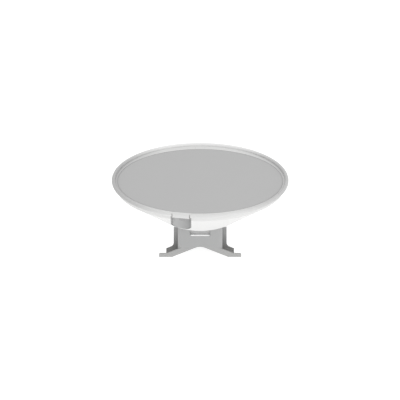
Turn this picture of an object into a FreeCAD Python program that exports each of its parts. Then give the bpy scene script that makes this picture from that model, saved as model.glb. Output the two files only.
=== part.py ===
import FreeCAD, Part
import math
import os
import re
import Sketcher
from FreeCAD import Placement, Rotation, Vector

# Marine radar dome. Millimetres, +Z up, front towards -Y.
# The origin is on the deck, on the vertical axis that the array turns about.

doc = FreeCAD.newDocument("radar_dome")
sheet = doc.addObject("Spreadsheet::Sheet", "sizes")

SIZES = {
    # bowl and rim
    "dome_radius": 305, "bead_radius": 6.2, "rim_plane": 270, "bead_seam": 0.6,
    "cover_thickness": 3, "cover_drop": 3, "cover_grip": 3.0,
    "shell_wall": 4, "base_plane": 120, "bowl_radius": 258.8, "bowl_centre": 363, "cone_slope": 34.4,
    "rim_inset": 15, "seal_gap": 4, "seal_squeeze": 0.3, "flange_width": 46, "seal_width": 7,
    # lid groove and ribs
    "groove_inset_side": 19.5, "groove_inset_front": 38, "groove_width": 1.6, "groove_depth": 1.2,
    "tongue_width": 54, "rib_depth": 5, "rib_width": 3, "rib_count": 8, "rib_hub": 40, "rib_reach": 225,
    # latch and its finger pocket
    "latch_azimuth": -12.75, "notch_width": 65, "tab_width": 58, "tab_drop": 7, "lip_thickness": 4.2,
    "latch_pin_radius": 2, "running_gap": 0.05, "pin_seat": 7, "pocket_x": -66, "pocket_half": 32.5,
    "pocket_bottom": 145, "pocket_foot": 145, "pocket_slope": 39.2, "pocket_lip": 3, "pocket_wall": 3,
    "pocket_floor": 3.6,
    "keeper_radius": 2.5, "keeper_inset": 12, "keeper_drop": 4,
    # rear hinge
    "hinge_out": 6.5, "hinge_below": 8, "barrel_radius": 4.5, "hinge_pin_radius": 2,
    "knuckle_length": 14, "knuckle_gap": 0.5, "leaf_thickness": 3, "leaf_reach": 25,
    # pedestal
    "front_face": 45, "casting_depth": 30, "casting_wall": 4, "leg_thickness": 6, "column_half": 77,
    "column_bend": 14,
    "foot_half": 142, "foot_height": 13, "foot_rounding": 4.5, "leg_start": 114.3,
    "arch_half": 97, "arch_slope": 23.4, "arch_apex_radius": 45,
    "recess_width": 70, "recess_bottom": 80, "recess_height": 28, "recess_depth": 9, "recess_corner": 6,
    "wing_half": 91.5, "wing_thickness": 6, "wing_foot_half": 117, "wing_foot_height": 17,
    "wing_flare": 16, "frame_back": 75, "frame_wall": 4, "top_plate_thickness": 6,
    "boss_radius": 11, "boss_height": 26, "bolt_half_x": 77, "bolt_front": 3, "bolt_pitch_y": 55,
    "bolt_hole_radius": 4.25, "bolt_hole_depth": 20, "pad_thickness": 2, "exit_half": 40, "exit_height": 30,
    # inside: chassis and drive
    "standoff_height": 26, "standoff_radius": 5, "standoff_x": 62, "standoff_y": 50,
    "chassis_radius": 130, "chassis_thickness": 3, "housing_radius": 26, "housing_height": 43,
    "housing_flange": 34, "bearing_radius": 21, "bearing_width": 8, "spindle_radius": 12,
    "spindle_bore": 7, "spindle_length": 60, "hub_flange": 22, "hub_thickness": 6,
    "gear_module": 2, "gear_teeth": 72, "pinion_teeth": 18, "gear_width": 8, "gear_lift": 47,
    "gear_backlash": 0.4, "gear_hub_wall": 5, "gear_hub_height": 3, "gear_root": 1.15, "root_gain": 0.30,
    "gear_tip": 0.85, "tip_loss": 0.38, "magnet_radius": 3, "magnet_height": 3,
    "motor_side": 42, "motor_height": 38, "motor_corner": 3.5, "motor_boss_radius": 11,
    "motor_boss_height": 2,
    "motor_shaft_radius": 2.5, "motor_screw_spread": 15.5,
    # fasteners
    "screw_radius": 1.5, "screw_head_radius": 3, "screw_head": 2, "slim_head_radius": 2.8, "slim_head": 1.5,
    "frame_screw_radius": 2, "frame_head_radius": 4, "frame_head": 3, "frame_screw_x": 60,
    "frame_screw_low": 62, "frame_screw_high": 100, "screw_boss_radius": 5,
    "bolt_radius": 3, "bolt_head_radius": 6, "bolt_head": 5, "nut_height": 5,
    "shell_bolt_x": 46, "shell_bolt_front": 25, "shell_bolt_rear": 30,
    # sockets in the base and the access plate
    "socket_x": 24, "socket_y": 10, "power_radius": 9, "data_radius": 8, "breather_radius": 6,
    "breather_y": -2,
    "socket_drop": 20, "socket_wall": 2, "socket_mouth": 14, "collar_width": 3, "collar_height": 3,
    "window_half": 37, "window_front": -12, "window_back": 24,
    "access_gap": 0.5, "access_thickness": 2, "access_screw_x": 28,
    # rotating array
    "array_half": 206, "array_depth": 34, "array_height": 26, "array_wall": 3, "window_thickness": 3,
    "cap_length": 4, "bracket_half": 60, "bracket_thickness": 6, "joint_thickness": 4, "joint_stem_gap": 2,
    "joint_plate_radius": 20, "joint_plate": 2.5, "joint_flange_radius": 13,
    # electronics
    "board_half_x": 48, "board_depth": 56, "board_start": 56, "board_lift": 7, "board_thickness": 1.6,
    "board_inset": 5, "spacer_radius": 3, "spacer_hole": 1.6, "can_half": 22, "can_depth": 30,
    "can_height": 6,
    "coil_radius": 12, "coil_height": 12, "coil_x": -20, "coil_inset": 24,
    "capacitor_radius": 5, "capacitor_height": 16, "capacitor_pitch": 13, "capacitor_x": 2,
    "capacitor_inset": 28,
    "unit_outer": 118, "unit_inner": 38, "unit_half_y": 44, "unit_height": 28, "sink_foot": 3,
    "fin_height": 12, "fin_width": 2, "fin_count": 12, "sensor_half": 4, "sensor_half_y": 5.5,
    "sensor_gap": 2,
}

# Sizes and places that follow from the driving ones.
DERIVED = {
    "bead_ring": "(dome_radius - bead_radius)",
    "cover_top": "(rim_plane - cover_drop)",
    "cover_under": "(cover_top - cover_thickness)",
    "cover_radius": "(bead_ring - cover_grip)",
    "rim_top": "(cover_under - seal_gap)",
    "rim_radius": "(dome_radius - rim_inset)",
    "flange_inner": "(rim_radius - flange_width)",
    "base_top": "(base_plane + shell_wall)",
    "base_radius": "sqrt(bowl_radius^2 - (bowl_centre - base_plane)^2)",
    "inner_bowl": "(bowl_radius - shell_wall)",
    "base_inner": "sqrt(inner_bowl^2 - (bowl_centre - base_top)^2)",
    "tangent_r": "(bowl_radius * sin(cone_slope))",
    "tangent_z": "(bowl_centre - bowl_radius * cos(cone_slope))",
    "cone_top": "(tangent_z + (rim_radius - tangent_r) * tan(cone_slope))",
    "pocket_foot_z": "(tangent_z + (pocket_foot - tangent_r) * tan(cone_slope))",
    "inner_rim": "(rim_radius - shell_wall)",
    "inner_r": "(inner_bowl * sin(cone_slope))",
    "inner_z": "(bowl_centre - inner_bowl * cos(cone_slope))",
    "inner_top": "(inner_z + (inner_rim - inner_r) * tan(cone_slope))",
    "hinge_y": "(rim_radius + hinge_out)",
    "hinge_z": "(cover_under - hinge_below)",
    "hinge_half": "(2.5 * knuckle_length)",
    "leaf_screw_y": "sqrt((rim_radius + leaf_thickness)^2 - (hinge_half + 4)^2)",
    "leaf_screw_z": "((cone_top + rim_top) / 2 - 0.5)",
    "latch_y": "sqrt(bead_ring^2 - (notch_width / 2)^2)",
    "keeper_y": "(latch_y - keeper_inset)",
    "keeper_z": "(rim_top - keeper_drop)",
    "column_top": "(base_plane - top_plate_thickness)",
    "arch_apex": "(arch_half * tan(arch_slope))",
    "leg_top": "(foot_height + (leg_start - column_half) * tan(arch_slope))",
    "wing_front": "(front_face - casting_depth)",
    "wing_knee": "(wing_foot_height + (wing_foot_half - wing_half) * tan(arch_slope))",
    "chassis_under": "(base_top + standoff_height)",
    "chassis_top": "(chassis_under + chassis_thickness)",
    "gear_z": "(chassis_top + gear_lift)",
    "gear_pitch": "(gear_module * gear_teeth / 2)",
    "gear_centres": "(gear_module * (gear_teeth + pinion_teeth) / 2)",
    "spindle_foot": "(chassis_top + 2)",
    "spindle_head": "(spindle_foot + spindle_length)",
    "array_floor": "(spindle_head + hub_thickness)",
}
NAME = re.compile(r"[a-z_]+")


def expr(text):
    """Turn a formula in size names into one that the spreadsheet's cells answer."""
    text = str(text)
    while any(word in DERIVED for word in NAME.findall(text)):
        text = NAME.sub(lambda found: DERIVED.get(found.group(), found.group()), text)
    return NAME.sub(lambda found: "sizes." + found.group() if found.group() in SIZES else found.group(), text)


for row, (alias, number) in enumerate(SIZES.items(), start=1):
    sheet.set("A%d" % row, alias)
    sheet.set("B%d" % row, str(number))
    sheet.setAlias("B%d" % row, alias)
doc.recompute()

nodes = []


def value(text):
    return float(sheet.evalExpression(expr(text)))


def bind(thing, **formulas):
    for name, formula in formulas.items():
        thing.setExpression(name, expr(formula))


def place(thing, x=0, y=0, z=0, turn=None, rotation=None):
    """Put a thing at x, y, z; turn is an azimuth about the dome's axis, rotation is its own."""
    own = rotation or Rotation()
    if turn is not None:
        own = Rotation(Vector(0, 0, 1), value(turn)).multiply(own)
        x, y = ("(%s) * cos(%s) - (%s) * sin(%s)" % (x, turn, y, turn),
                "(%s) * sin(%s) + (%s) * cos(%s)" % (x, turn, y, turn))
    thing.Placement = Placement(Vector(value(x), value(y), value(z)), own)
    for axis, formula in (("x", x), ("y", y), ("z", z)):
        thing.setExpression("Placement.Base." + axis, expr(formula))
    return thing


def box(name, x, y, z, turn=None):
    """A box between x[0] and x[1], y[0] and y[1], z[0] and z[1]."""
    thing = doc.addObject("Part::Box", name)
    bind(thing, Length="(%s) - (%s)" % (x[1], x[0]), Width="(%s) - (%s)" % (y[1], y[0]),
         Height="(%s) - (%s)" % (z[1], z[0]))
    return place(thing, x[0], y[0], z[0], turn)


ALONG = {"x": Rotation(Vector(0, 1, 0), 90), "y": Rotation(Vector(1, 0, 0), -90), "z": Rotation()}


def rod(name, radius, length, x=0, y=0, z=0, along="z", turn=None):
    """A cylinder that starts at x, y, z and runs along one axis."""
    thing = doc.addObject("Part::Cylinder", name)
    bind(thing, Radius=radius, Height=length)
    return place(thing, x, y, z, turn, ALONG[along])


def cut(name, base, *tools):
    tool = tools[0] if len(tools) == 1 else fuse(name + "_cutters", *tools)
    result = doc.addObject("Part::Cut", name)
    result.Base, result.Tool = base, tool
    return result


def fuse(name, *parts):
    result = doc.addObject("Part::MultiFuse", name)
    result.Shapes = list(parts)
    return result


def common(name, *parts):
    result = doc.addObject("Part::MultiCommon", name)
    result.Shapes = list(parts)
    return result


def group(name, parts):
    result = doc.addObject("Part::Compound", name)
    result.Links = list(parts)
    return result


def node(thing, label):
    thing.Label = label
    nodes.append(thing)
    return thing


def tube(name, outer, inner, length, z):
    return cut(name, rod(name + "_out", outer, length, z=z), rod(name + "_in", inner, length, z=z))


def screw(name, radius, length, head_radius, head, x, y, z, along="z", sign=-1, turn=None):
    """A screw whose head sits on the point x, y, z; its shank runs the way that sign says."""
    shift = {"x": 0, "y": 0, "z": 0}
    start = dict(shift, **{along: "(%s) * (%d)" % (length if sign < 0 else 0, sign)})
    top = dict(shift, **{along: "(%s)" % (0 if sign < 0 else "-(%s)" % head)})
    shank = rod(name + "_shank", radius, length, "(%s) + %s" % (x, start["x"]),
                "(%s) + %s" % (y, start["y"]), "(%s) + %s" % (z, start["z"]), along, turn)
    cap = rod(name + "_head", head_radius, head, "(%s) + %s" % (x, top["x"]),
              "(%s) + %s" % (y, top["y"]), "(%s) + %s" % (z, top["z"]), along, turn)
    return fuse(name, shank, cap)


def new_body(name):
    return doc.addObject("PartDesign::Body", name)


def plane_of(body, role):
    return next(item for item in body.Origin.OriginFeatures if item.Role == role)


def outline(body, name, role, corners, offset=None, circles=()):
    """A closed sketch through corners; a corner (x, y, radius) ends an arc about the axis side."""
    drawing = body.newObject("Sketcher::SketchObject", name)
    drawing.AttachmentSupport = (plane_of(body, role), [""])
    drawing.MapMode = "FlatFace"
    if offset is not None:
        drawing.setExpression("AttachmentOffset.Base.z", expr(offset))
    points = [Vector(value(corner[0]), value(corner[1]), 0) for corner in corners]
    for index, corner in enumerate(corners):
        start = points[index - 1]
        end = points[index]
        if len(corner) > 2:
            radius = value(corner[2])
            chord = end - start
            middle = (start + end) * 0.5
            rise = math.sqrt(radius ** 2 - (chord.Length / 2) ** 2)
            normal = Vector(-chord.y, chord.x, 0).normalize()
            centre = middle + normal * (rise if normal.y > 0 else -rise)
            first = math.atan2(start.y - centre.y, start.x - centre.x)
            last = math.atan2(end.y - centre.y, end.x - centre.x)
            circle = Part.Circle(centre, Vector(0, 0, 1), radius)
            low, high = min(first, last), max(first, last)
            drawing.addGeometry(Part.ArcOfCircle(circle, low, high))
        else:
            drawing.addGeometry(Part.LineSegment(start, end))
    count = len(corners)
    ends = []
    for index, corner in enumerate(corners):
        curve = drawing.Geometry[index]
        forward = curve.StartPoint.distanceToPoint(points[index - 1]) < 1e-6
        ends.append((1, 2) if forward else (2, 1))
    for index in range(count):
        after = (index + 1) % count
        drawing.addConstraint(Sketcher.Constraint("Coincident", index, ends[index][1], after, ends[after][0]))
    for index, corner in enumerate(corners):
        for kind, axis in (("DistanceX", 0), ("DistanceY", 1)):
            number = drawing.addConstraint(
                Sketcher.Constraint(kind, -1, 1, index, ends[index][1], points[index][axis]))
            drawing.setExpression("Constraints[%d]" % number, expr(corner[axis]))
        if len(corner) > 2:
            number = drawing.addConstraint(Sketcher.Constraint("Radius", index, value(corner[2])))
            drawing.setExpression("Constraints[%d]" % number, expr(corner[2]))
    for x, y, radius in circles:
        spot = Vector(value(x), value(y), 0)
        geo = drawing.addGeometry(Part.Circle(spot, Vector(0, 0, 1), value(radius)))
        for kind, text, number in (("DistanceX", x, spot.x), ("DistanceY", y, spot.y)):
            made = drawing.addConstraint(Sketcher.Constraint(kind, -1, 1, geo, 3, number))
            drawing.setExpression("Constraints[%d]" % made, expr(text))
        made = drawing.addConstraint(Sketcher.Constraint("Radius", geo, value(radius)))
        drawing.setExpression("Constraints[%d]" % made, expr(radius))
    doc.recompute()
    return drawing


def turned(name, corners):
    """A body turned about the vertical axis from a half section of corners (radius, height)."""
    body = new_body(name)
    drawing = outline(body, name + "_section", "XZ_Plane", corners)
    spin = body.newObject("PartDesign::Revolution", name + "_turned")
    spin.Profile = drawing
    spin.ReferenceAxis = (drawing, ["V_Axis"])
    spin.Angle = 360
    doc.recompute()
    return body


def pad(body, name, drawing, length, reverse=False):
    made = body.newObject("PartDesign::Pad", name)
    made.Profile = drawing
    made.setExpression("Length", expr(length))
    made.Reversed = reverse
    doc.recompute()
    return made


def pocket(body, name, drawing, depth, reverse=False):
    before = body.Shape.Volume
    made = body.newObject("PartDesign::Pocket", name)
    made.Profile = drawing
    made.setExpression("Length", expr(depth))
    made.Reversed = reverse
    doc.recompute()
    if before - body.Shape.Volume < 1.0:
        raise RuntimeError(name + " cuts nothing")
    return made


def rounded(body, name, base, radius, wanted):
    """Round the upright and level edges of base that wanted picks by their middle point and direction."""
    names = []
    for index, edge in enumerate(base.Shape.Edges, start=1):
        middle = edge.valueAt((edge.FirstParameter + edge.LastParameter) / 2)
        run = edge.Vertexes[-1].Point - edge.Vertexes[0].Point
        if edge.Curve.TypeId == "Part::GeomLine" and wanted(middle, run.normalize()):
            names.append("Edge%d" % index)
    if not names:
        raise RuntimeError(name + " finds no edge")
    made = body.newObject("PartDesign::Fillet", name)
    made.Base = (base, names)
    made.setExpression("Radius", expr(radius))
    doc.recompute()
    return made


def mirrored_pairs(half):
    """Corners of a symmetric outline from the corners of its right half, top to bottom centre."""
    left = [("-(%s)" % corner[0], corner[1]) for corner in reversed(half) if corner[0] != "0"]
    return half + left


# ---------------------------------------------------------------- bowl
BOWL_OUTSIDE = [("0", "base_plane"), ("base_radius", "base_plane"), ("tangent_r", "tangent_z", "bowl_radius"),
                ("rim_radius", "cone_top"), ("rim_radius", "rim_top")]
bowl_form = turned("bowl_form", BOWL_OUTSIDE + [("0", "rim_top")])
shell = turned("shell", BOWL_OUTSIDE + [
    ("flange_inner", "rim_top"), ("flange_inner", "rim_top - shell_wall"),
    ("inner_rim", "rim_top - shell_wall"),
    ("inner_rim", "inner_top"), ("inner_r", "inner_z"), ("base_inner", "base_top", "inner_bowl"),
    ("0", "base_top")])


# The finger pocket is a round-ended slot seen from the front; its floor is a steeper cone than the
# bowl's, so the pocket deepens towards the rim.
def pocket_form(name, grow, rise, low):
    """The pocket's slot widened by grow, down to low, with its floor lifted inwards by rise."""
    half = "(pocket_half + %s)" % grow
    middle = "(pocket_bottom + pocket_half)"
    depth = ("-rim_radius - 10", "-10")
    end = rod(name + "_end", half, "rim_radius", "pocket_x", "-rim_radius - 10", middle, "y")
    sides = box(name + "_sides", ("pocket_x - " + half, "pocket_x + " + half), depth, (middle, "rim_top + 1"))
    limit = box(name + "_limit", ("-rim_radius", "0"), depth, (low, "rim_top + 1"))
    drop, head = "pocket_foot_z - 90 * tan(pocket_slope)", "rim_top + 5"
    core = turned(name + "_core", [
        ("0", drop), ("pocket_foot - 90", drop),
        ("pocket_foot + (%s - pocket_foot_z) / tan(pocket_slope)" % head, head), ("0", head)])
    return cut(name, common(name + "_slot", fuse(name + "_round", end, sides), limit), place(core, z=rise))


pocket_outside = pocket_form("pocket_outside", "pocket_wall", "pocket_floor", "pocket_foot_z - pocket_lip")
pocket_inside = pocket_form("pocket_inside", "0", "0", "pocket_foot_z - 1")


def keeper(name, extra=0):
    half = "(notch_width / 2 + pin_seat)"
    return rod(name, "keeper_radius + %s" % extra, "2 * %s" % half, "-%s" % half, "-keeper_y", "keeper_z",
               "x", "latch_azimuth")


keeper_bar = node(keeper("keeper_bar"), "keeper_bar")
keeper_seats = keeper("keeper_seats")

SOCKETS = {"power_socket": ("-socket_x", "socket_y", "power_radius"),
           "data_socket": ("socket_x", "socket_y", "data_radius"),
           "breather_valve": ("0", "breather_y", "breather_radius")}
FRONT_BOLTS = [("%d * shell_bolt_x" % sx, "-shell_bolt_front") for sx in (-1, 1)]
REAR_BOLTS = [("%d * shell_bolt_x" % sx, "shell_bolt_rear") for sx in (-1, 1)]
STANDOFF_SPOTS = [("%d * standoff_x" % sx, "%d * standoff_y" % sy) for sx in (-1, 1) for sy in (-1, 1)]
socket_holes = [rod(name + "_hole", radius, "shell_wall + 2", x, y, "base_plane - 1")
                for name, (x, y, radius) in SOCKETS.items()]
bolt_holes = [rod("shell_bolt_hole", "bolt_radius", "shell_wall + 2", x, y, "base_plane - 1")
              for x, y in FRONT_BOLTS + REAR_BOLTS]
standoff_holes = [rod("standoff_hole", "screw_radius", "shell_wall", x, y, "base_plane")
                  for x, y in STANDOFF_SPOTS]
HINGE_SPOTS = ["-(hinge_half + 7)", "(hinge_half + 7)"]
hinge_holes = [rod("hinge_screw_hole", "screw_radius", "20", x, "leaf_screw_y - 20", "leaf_screw_z", "y")
               for x in HINGE_SPOTS]
node(cut("lower_shell", shell, pocket_outside, keeper_seats, *socket_holes, *bolt_holes, *hinge_holes),
     "lower_shell")
pocket_block = common("pocket_block", bowl_form, pocket_outside)
node(cut("latch_pocket", pocket_block, pocket_inside, keeper("keeper_seats_pocket")), "latch_pocket")
node(tube("rim_seal", "flange_inner + 2 + seal_width", "flange_inner + 2", "seal_gap - seal_squeeze",
          "rim_top"),
     "rim_seal")

# ---------------------------------------------------------------- lid
cover_plate = turned("cover_plate", [("0", "cover_under"), ("cover_radius", "cover_under"),
                                     ("cover_radius", "cover_top"), ("0", "cover_top")])
rib_ring_inner = tube("rib_ring_inner", "rib_hub", "rib_hub - rib_width", "rib_depth",
                      "cover_under - rib_depth")
rib_ring_outer = tube("rib_ring_outer", "rib_reach", "rib_reach - rib_width", "rib_depth",
                      "cover_under - rib_depth")
ribs = []
for number in range(SIZES["rib_count"]):
    rib = doc.addObject("Part::Box", "rib")
    bind(rib, Length="rib_reach - rib_hub", Width="rib_width", Height="rib_depth")
    angle = "%d * 360 / rib_count" % number
    place(rib, "rib_hub - 1", "-rib_width / 2", "cover_under - rib_depth", angle)
    ribs.append(rib)


def ellipse_disc(across, along):
    wire = Part.Wire([Part.Ellipse(Vector(0, 0, 0), across, along).toShape()])
    return Part.Face(wire)


# The groove runs further in at the front and the rear, past the latch and the hinge leaf.
groove_wide = ellipse_disc(value("dome_radius - groove_inset_side"),
                           value("dome_radius - groove_inset_front"))
groove_narrow = ellipse_disc(value("dome_radius - groove_inset_side - groove_width"),
                             value("dome_radius - groove_inset_front - groove_width"))
groove_ring = doc.addObject("Part::Feature", "groove_ring")
groove_ring.Shape = groove_wide.cut(groove_narrow).extrude(Vector(0, 0, value("groove_depth + 1")))
groove_ring.Placement = Placement(Vector(0, 0, value("cover_top - groove_depth")), Rotation())
tongue = box("tongue", ("-tongue_width / 2", "tongue_width / 2"), ("-dome_radius", "-dome_radius / 2"),
             ("cover_under", "cover_top + 2"), "latch_azimuth")
groove = cut("groove", groove_ring, tongue)


def notch(name, depth):
    return box(name, ("-notch_width / 2", "notch_width / 2"), ("-dome_radius - 5", "-latch_y + %s" % depth),
               ("rim_top", "rim_plane + 20"), "latch_azimuth")


LEAF_SPOTS = [("%d * (knuckle_length + 2)" % sx, "hinge_y - leaf_reach + 5") for sx in (-1, 1)]
leaf_holes = [rod("leaf_rivet_hole", "screw_radius", "cover_thickness", x, y, "cover_under")
              for x, y in LEAF_SPOTS]
cover_body = fuse("cover_body", cover_plate, rib_ring_inner, rib_ring_outer, *ribs)
node(cut("top_cover", cover_body, groove, notch("cover_notch", 9), *leaf_holes), "top_cover")


# The edge bead is a tube in two halves that grip the lid's edge.
def bead(name, start):
    ring = doc.addObject("Part::Torus", name)
    bind(ring, Radius1="bead_ring", Radius2="bead_radius")
    seam = math.degrees(value("bead_seam / 2 / bead_ring"))
    ring.Angle3 = 180 - 2 * seam
    ring.Placement = Placement(Vector(), Rotation(Vector(0, 0, 1), start + seam))
    ring.setExpression("Placement.Base.z", expr("rim_plane"))
    return ring


def pin_at_latch(name, radius, half, start=None):
    return rod(name, radius, "2 * (%s)" % half, "-(%s)" % half, "-latch_y", "rim_plane", "x", "latch_azimuth")


pin_half = "(notch_width / 2 + pin_seat - 1)"
node(cut("cover_trim_front", bead("bead_front", 180), rod("plate_in_front", "cover_radius", "cover_thickness",
         z="cover_under"), notch("bead_notch", 20), pin_at_latch("pin_seats", "latch_pin_radius", pin_half)),
     "cover_trim_front")
node(cut("cover_trim_rear", bead("bead_rear", 0), rod("plate_in_rear", "cover_radius", "cover_thickness",
         z="cover_under")), "cover_trim_rear")

# ---------------------------------------------------------------- latch
node(pin_at_latch("latch_pin", "latch_pin_radius", pin_half), "latch_pin")
tab_slab = box("tab_slab", ("-tab_width / 2", "tab_width / 2"), ("-dome_radius - 5", "-dome_radius / 2"),
               ("rim_top - 30", "rim_plane + 20"), "latch_azimuth")
tab_ring = doc.addObject("Part::Torus", "tab_ring")
bind(tab_ring, Radius1="bead_ring", Radius2="bead_radius")
place(tab_ring, z="rim_plane")
tab_lip = cut("tab_lip", rod("tab_lip_out", "dome_radius", "tab_drop", z="rim_plane - tab_drop"),
              rod("tab_lip_in", "dome_radius - lip_thickness", "tab_drop", z="rim_plane - tab_drop"))
tab_form = common("tab_form", fuse("tab_rings", tab_ring, tab_lip), tab_slab)
hook_foot = "(keeper_z - keeper_radius - 0.6)"
hook_out = "(keeper_y + keeper_radius + 1)"
hook_arm = box("hook_arm", ("-8", "8"), ("-latch_y + 3", "-%s" % hook_out), (hook_foot + " - 3", "rim_plane"),
               "latch_azimuth")
hook_nose = box("hook_nose", ("-8", "8"), ("-latch_y + 3", "-keeper_y"), (hook_foot + " - 3", hook_foot),
                "latch_azimuth")
tab_bore = pin_at_latch("tab_bore", "latch_pin_radius + running_gap", "notch_width / 2")
node(cut("latch_tab", fuse("tab_solid", tab_form, hook_arm, hook_nose), tab_bore), "latch_tab")
coil_start = "(tab_width / 2 + 1)"
coil_length = "(notch_width / 2 - tab_width / 2 - 2)"
coil_out = rod("coil_out", "latch_pin_radius + 1.6", coil_length, coil_start, "-latch_y", "rim_plane", "x",
               "latch_azimuth")
coil_in = rod("coil_in", "latch_pin_radius", coil_length, coil_start, "-latch_y", "rim_plane", "x",
              "latch_azimuth")
node(cut("latch_spring", coil_out, coil_in), "latch_spring")


# ---------------------------------------------------------------- rear hinge
def knuckles(name, radius, numbers, trim):
    """Hinge barrels at the numbered places from left to right, each shorter by trim at both ends."""
    return [rod(name, radius, "knuckle_length - 2 * (%s)" % trim,
                "-hinge_half + %d * knuckle_length + (%s)" % (number, trim), "hinge_y", "hinge_z", "x")
            for number in numbers]


def hinge_bore(name, extra):
    return rod(name, "hinge_pin_radius + %s" % extra, "2 * hinge_half", "-hinge_half", "hinge_y",
               "hinge_z", "x")


base_ring = cut("base_ring", rod("base_ring_out", "rim_radius + leaf_thickness", "hinge_z + 3 - cone_top",
                                 z="cone_top"),
                rod("base_ring_in", "rim_radius", "hinge_z + 3 - cone_top", z="cone_top"))
base_slab = box("base_slab", ("-hinge_half - 14", "hinge_half + 14"), ("rim_radius / 2", "dome_radius"),
                ("base_plane", "rim_top"))
base_plate = common("base_plate", base_ring, base_slab)
base_leaf = fuse("base_leaf", base_plate, *knuckles("base_knuckle", "barrel_radius", (0, 2, 4), 0))
node(cut("base_hinge_leaf", base_leaf, hinge_bore("base_bore", 0),
         *knuckles("base_clearance", "barrel_radius + knuckle_gap", (1, 3), "-knuckle_gap"),
         rod("wall_clear", "rim_radius", "200", z="base_plane"),
         *[rod("base_screw_hole", "screw_radius", "20", x, "leaf_screw_y - 20", "leaf_screw_z", "y")
           for x in HINGE_SPOTS]), "base_hinge_leaf")
node(hinge_bore("hinge_pin", 0), "hinge_pin")
necks = [box("neck", ("-hinge_half + %d * knuckle_length + knuckle_gap" % number,
                      "-hinge_half + %d * knuckle_length - knuckle_gap" % (number + 1)),
             ("rim_radius + leaf_thickness + knuckle_gap", "hinge_y + leaf_thickness"),
             ("hinge_z", "cover_under"))
         for number in (1, 3)]
leaf_plate = box("leaf_plate", ("-1.5 * knuckle_length", "1.5 * knuckle_length"),
                 ("hinge_y - leaf_reach", "hinge_y + leaf_thickness"), ("cover_under - leaf_thickness",
                                                                        "cover_under"))
leaf_solid = fuse("leaf_solid", leaf_plate, *necks, *knuckles("cover_knuckle", "barrel_radius", (1, 3),
                                                              "knuckle_gap"))
bead_clear = doc.addObject("Part::Torus", "bead_clear")
bind(bead_clear, Radius1="bead_ring", Radius2="bead_radius")
place(bead_clear, z="rim_plane")
node(cut("cover_hinge_leaf", leaf_solid, bead_clear, hinge_bore("cover_bore", "running_gap"),
         *[rod("leaf_hole", "screw_radius", "leaf_thickness", x, y, "cover_under - leaf_thickness")
           for x, y in LEAF_SPOTS]), "cover_hinge_leaf")
node(group("cover_rivets", [rod("cover_rivet", "screw_radius", "leaf_thickness + cover_thickness", x, y,
                                "cover_under - leaf_thickness") for x, y in LEAF_SPOTS]), "cover_rivets")
node(group("hinge_screws", [screw("hinge_screw", "screw_radius", "leaf_thickness + shell_wall + 2",
                                  "screw_head_radius", "screw_head", x, "leaf_screw_y", "leaf_screw_z", "y")
                            for x in HINGE_SPOTS]), "hinge_screws")

# ---------------------------------------------------------------- pedestal
def column_profile(body, name, half, offset):
    return outline(body, name, "XZ_Plane", mirrored_pairs(half), offset)


def at_line(x_text, z_text, along):
    """A test for straight edges that run along one axis through plus or minus x, at height z."""
    x, z = value(x_text), value(z_text)

    def wanted(middle, run):
        if abs(run.dot(along)) < 0.99:
            return False
        return abs(abs(middle.x) - x) < 0.01 and (along.z or abs(middle.z - z) < 0.01)
    return wanted


DEEP = Vector(0, 1, 0)
UPRIGHT = Vector(0, 0, 1)
front = new_body("front")
front_profile = column_profile(front, "front_profile", [
    ("column_half", "column_top"), ("column_half", "leg_top"), ("leg_start", "foot_height"),
    ("foot_half", "foot_height"), ("foot_half", "0"), ("arch_half", "0"), ("0", "arch_apex")], "front_face")
front_pad = pad(front, "front_pad", front_profile, "casting_depth", reverse=True)
front_apex = rounded(front, "front_apex", front_pad, "arch_apex_radius", at_line("0", "arch_apex", DEEP))
front_toes = rounded(front, "front_toes", front_apex, "foot_rounding", at_line("foot_half", "foot_height",
                                                                               DEEP))
column_front = value("-front_face")
front_bends = rounded(front, "front_bends", front_toes, "column_bend", lambda middle, run: (
    abs(run.z) > 0.99 and abs(abs(middle.x) - value("column_half")) < 0.01
    and abs(middle.y - column_front) < 0.01))
hollow_profile = column_profile(front, "hollow_profile", [
    ("column_half - casting_wall", "column_top - casting_wall"),
    ("column_half - casting_wall", "leg_top - casting_wall"),
    ("leg_start - 2 * casting_wall", "foot_height - casting_wall"),
    ("arch_half", "casting_wall"), ("0", "arch_apex + casting_wall")], "wing_front")
hollow = pocket(front, "hollow", hollow_profile, "casting_depth - recess_depth - casting_wall", reverse=True)
recess_profile = outline(front, "recess_profile", "XZ_Plane", [
    ("recess_width / 2", "recess_bottom + recess_height"), ("recess_width / 2", "recess_bottom"),
    ("-recess_width / 2", "recess_bottom"), ("-recess_width / 2", "recess_bottom + recess_height")],
    "front_face")
recess = pocket(front, "recess", recess_profile, "recess_depth", reverse=False)
recess_round = rounded(front, "recess_round", recess, "recess_corner", lambda middle, run: (
    abs(run.y) > 0.99 and abs(abs(middle.x) - value("recess_width / 2")) < 0.01
    and value("recess_bottom") - 1 < middle.z < value("recess_bottom + recess_height") + 1))

FRAME_SPOTS = [("%d * frame_screw_x" % sx, z) for sx in (-1, 1) for z in ("frame_screw_low",
                                                                          "frame_screw_high")]
frame_screw_holes = [rod("frame_screw_hole", "frame_screw_radius", "wing_thickness + 14", x,
                         "-wing_front - 10",
                         z, "y") for x, z in FRAME_SPOTS]
screw_bosses = [rod("screw_boss", "screw_boss_radius", "casting_depth - 9", x, "-front_face + 8.9", z, "y")
                for x, z in FRAME_SPOTS]
boss_limit = box("boss_limit", ("-column_half", "column_half"), ("-front_face + 8", "-wing_front"),
                 ("arch_apex", "column_top"))
boss_form = common("boss_form", fuse("all_bosses", *screw_bosses), boss_limit)
access_spots = [("%d * access_screw_x" % sx, "recess_bottom + recess_height / 2") for sx in (-1, 1)]
access_holes = [rod("access_screw_hole", "screw_radius", "casting_wall + 1", x,
                    "-front_face + recess_depth - 1",
                    z, "y") for x, z in access_spots]


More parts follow.
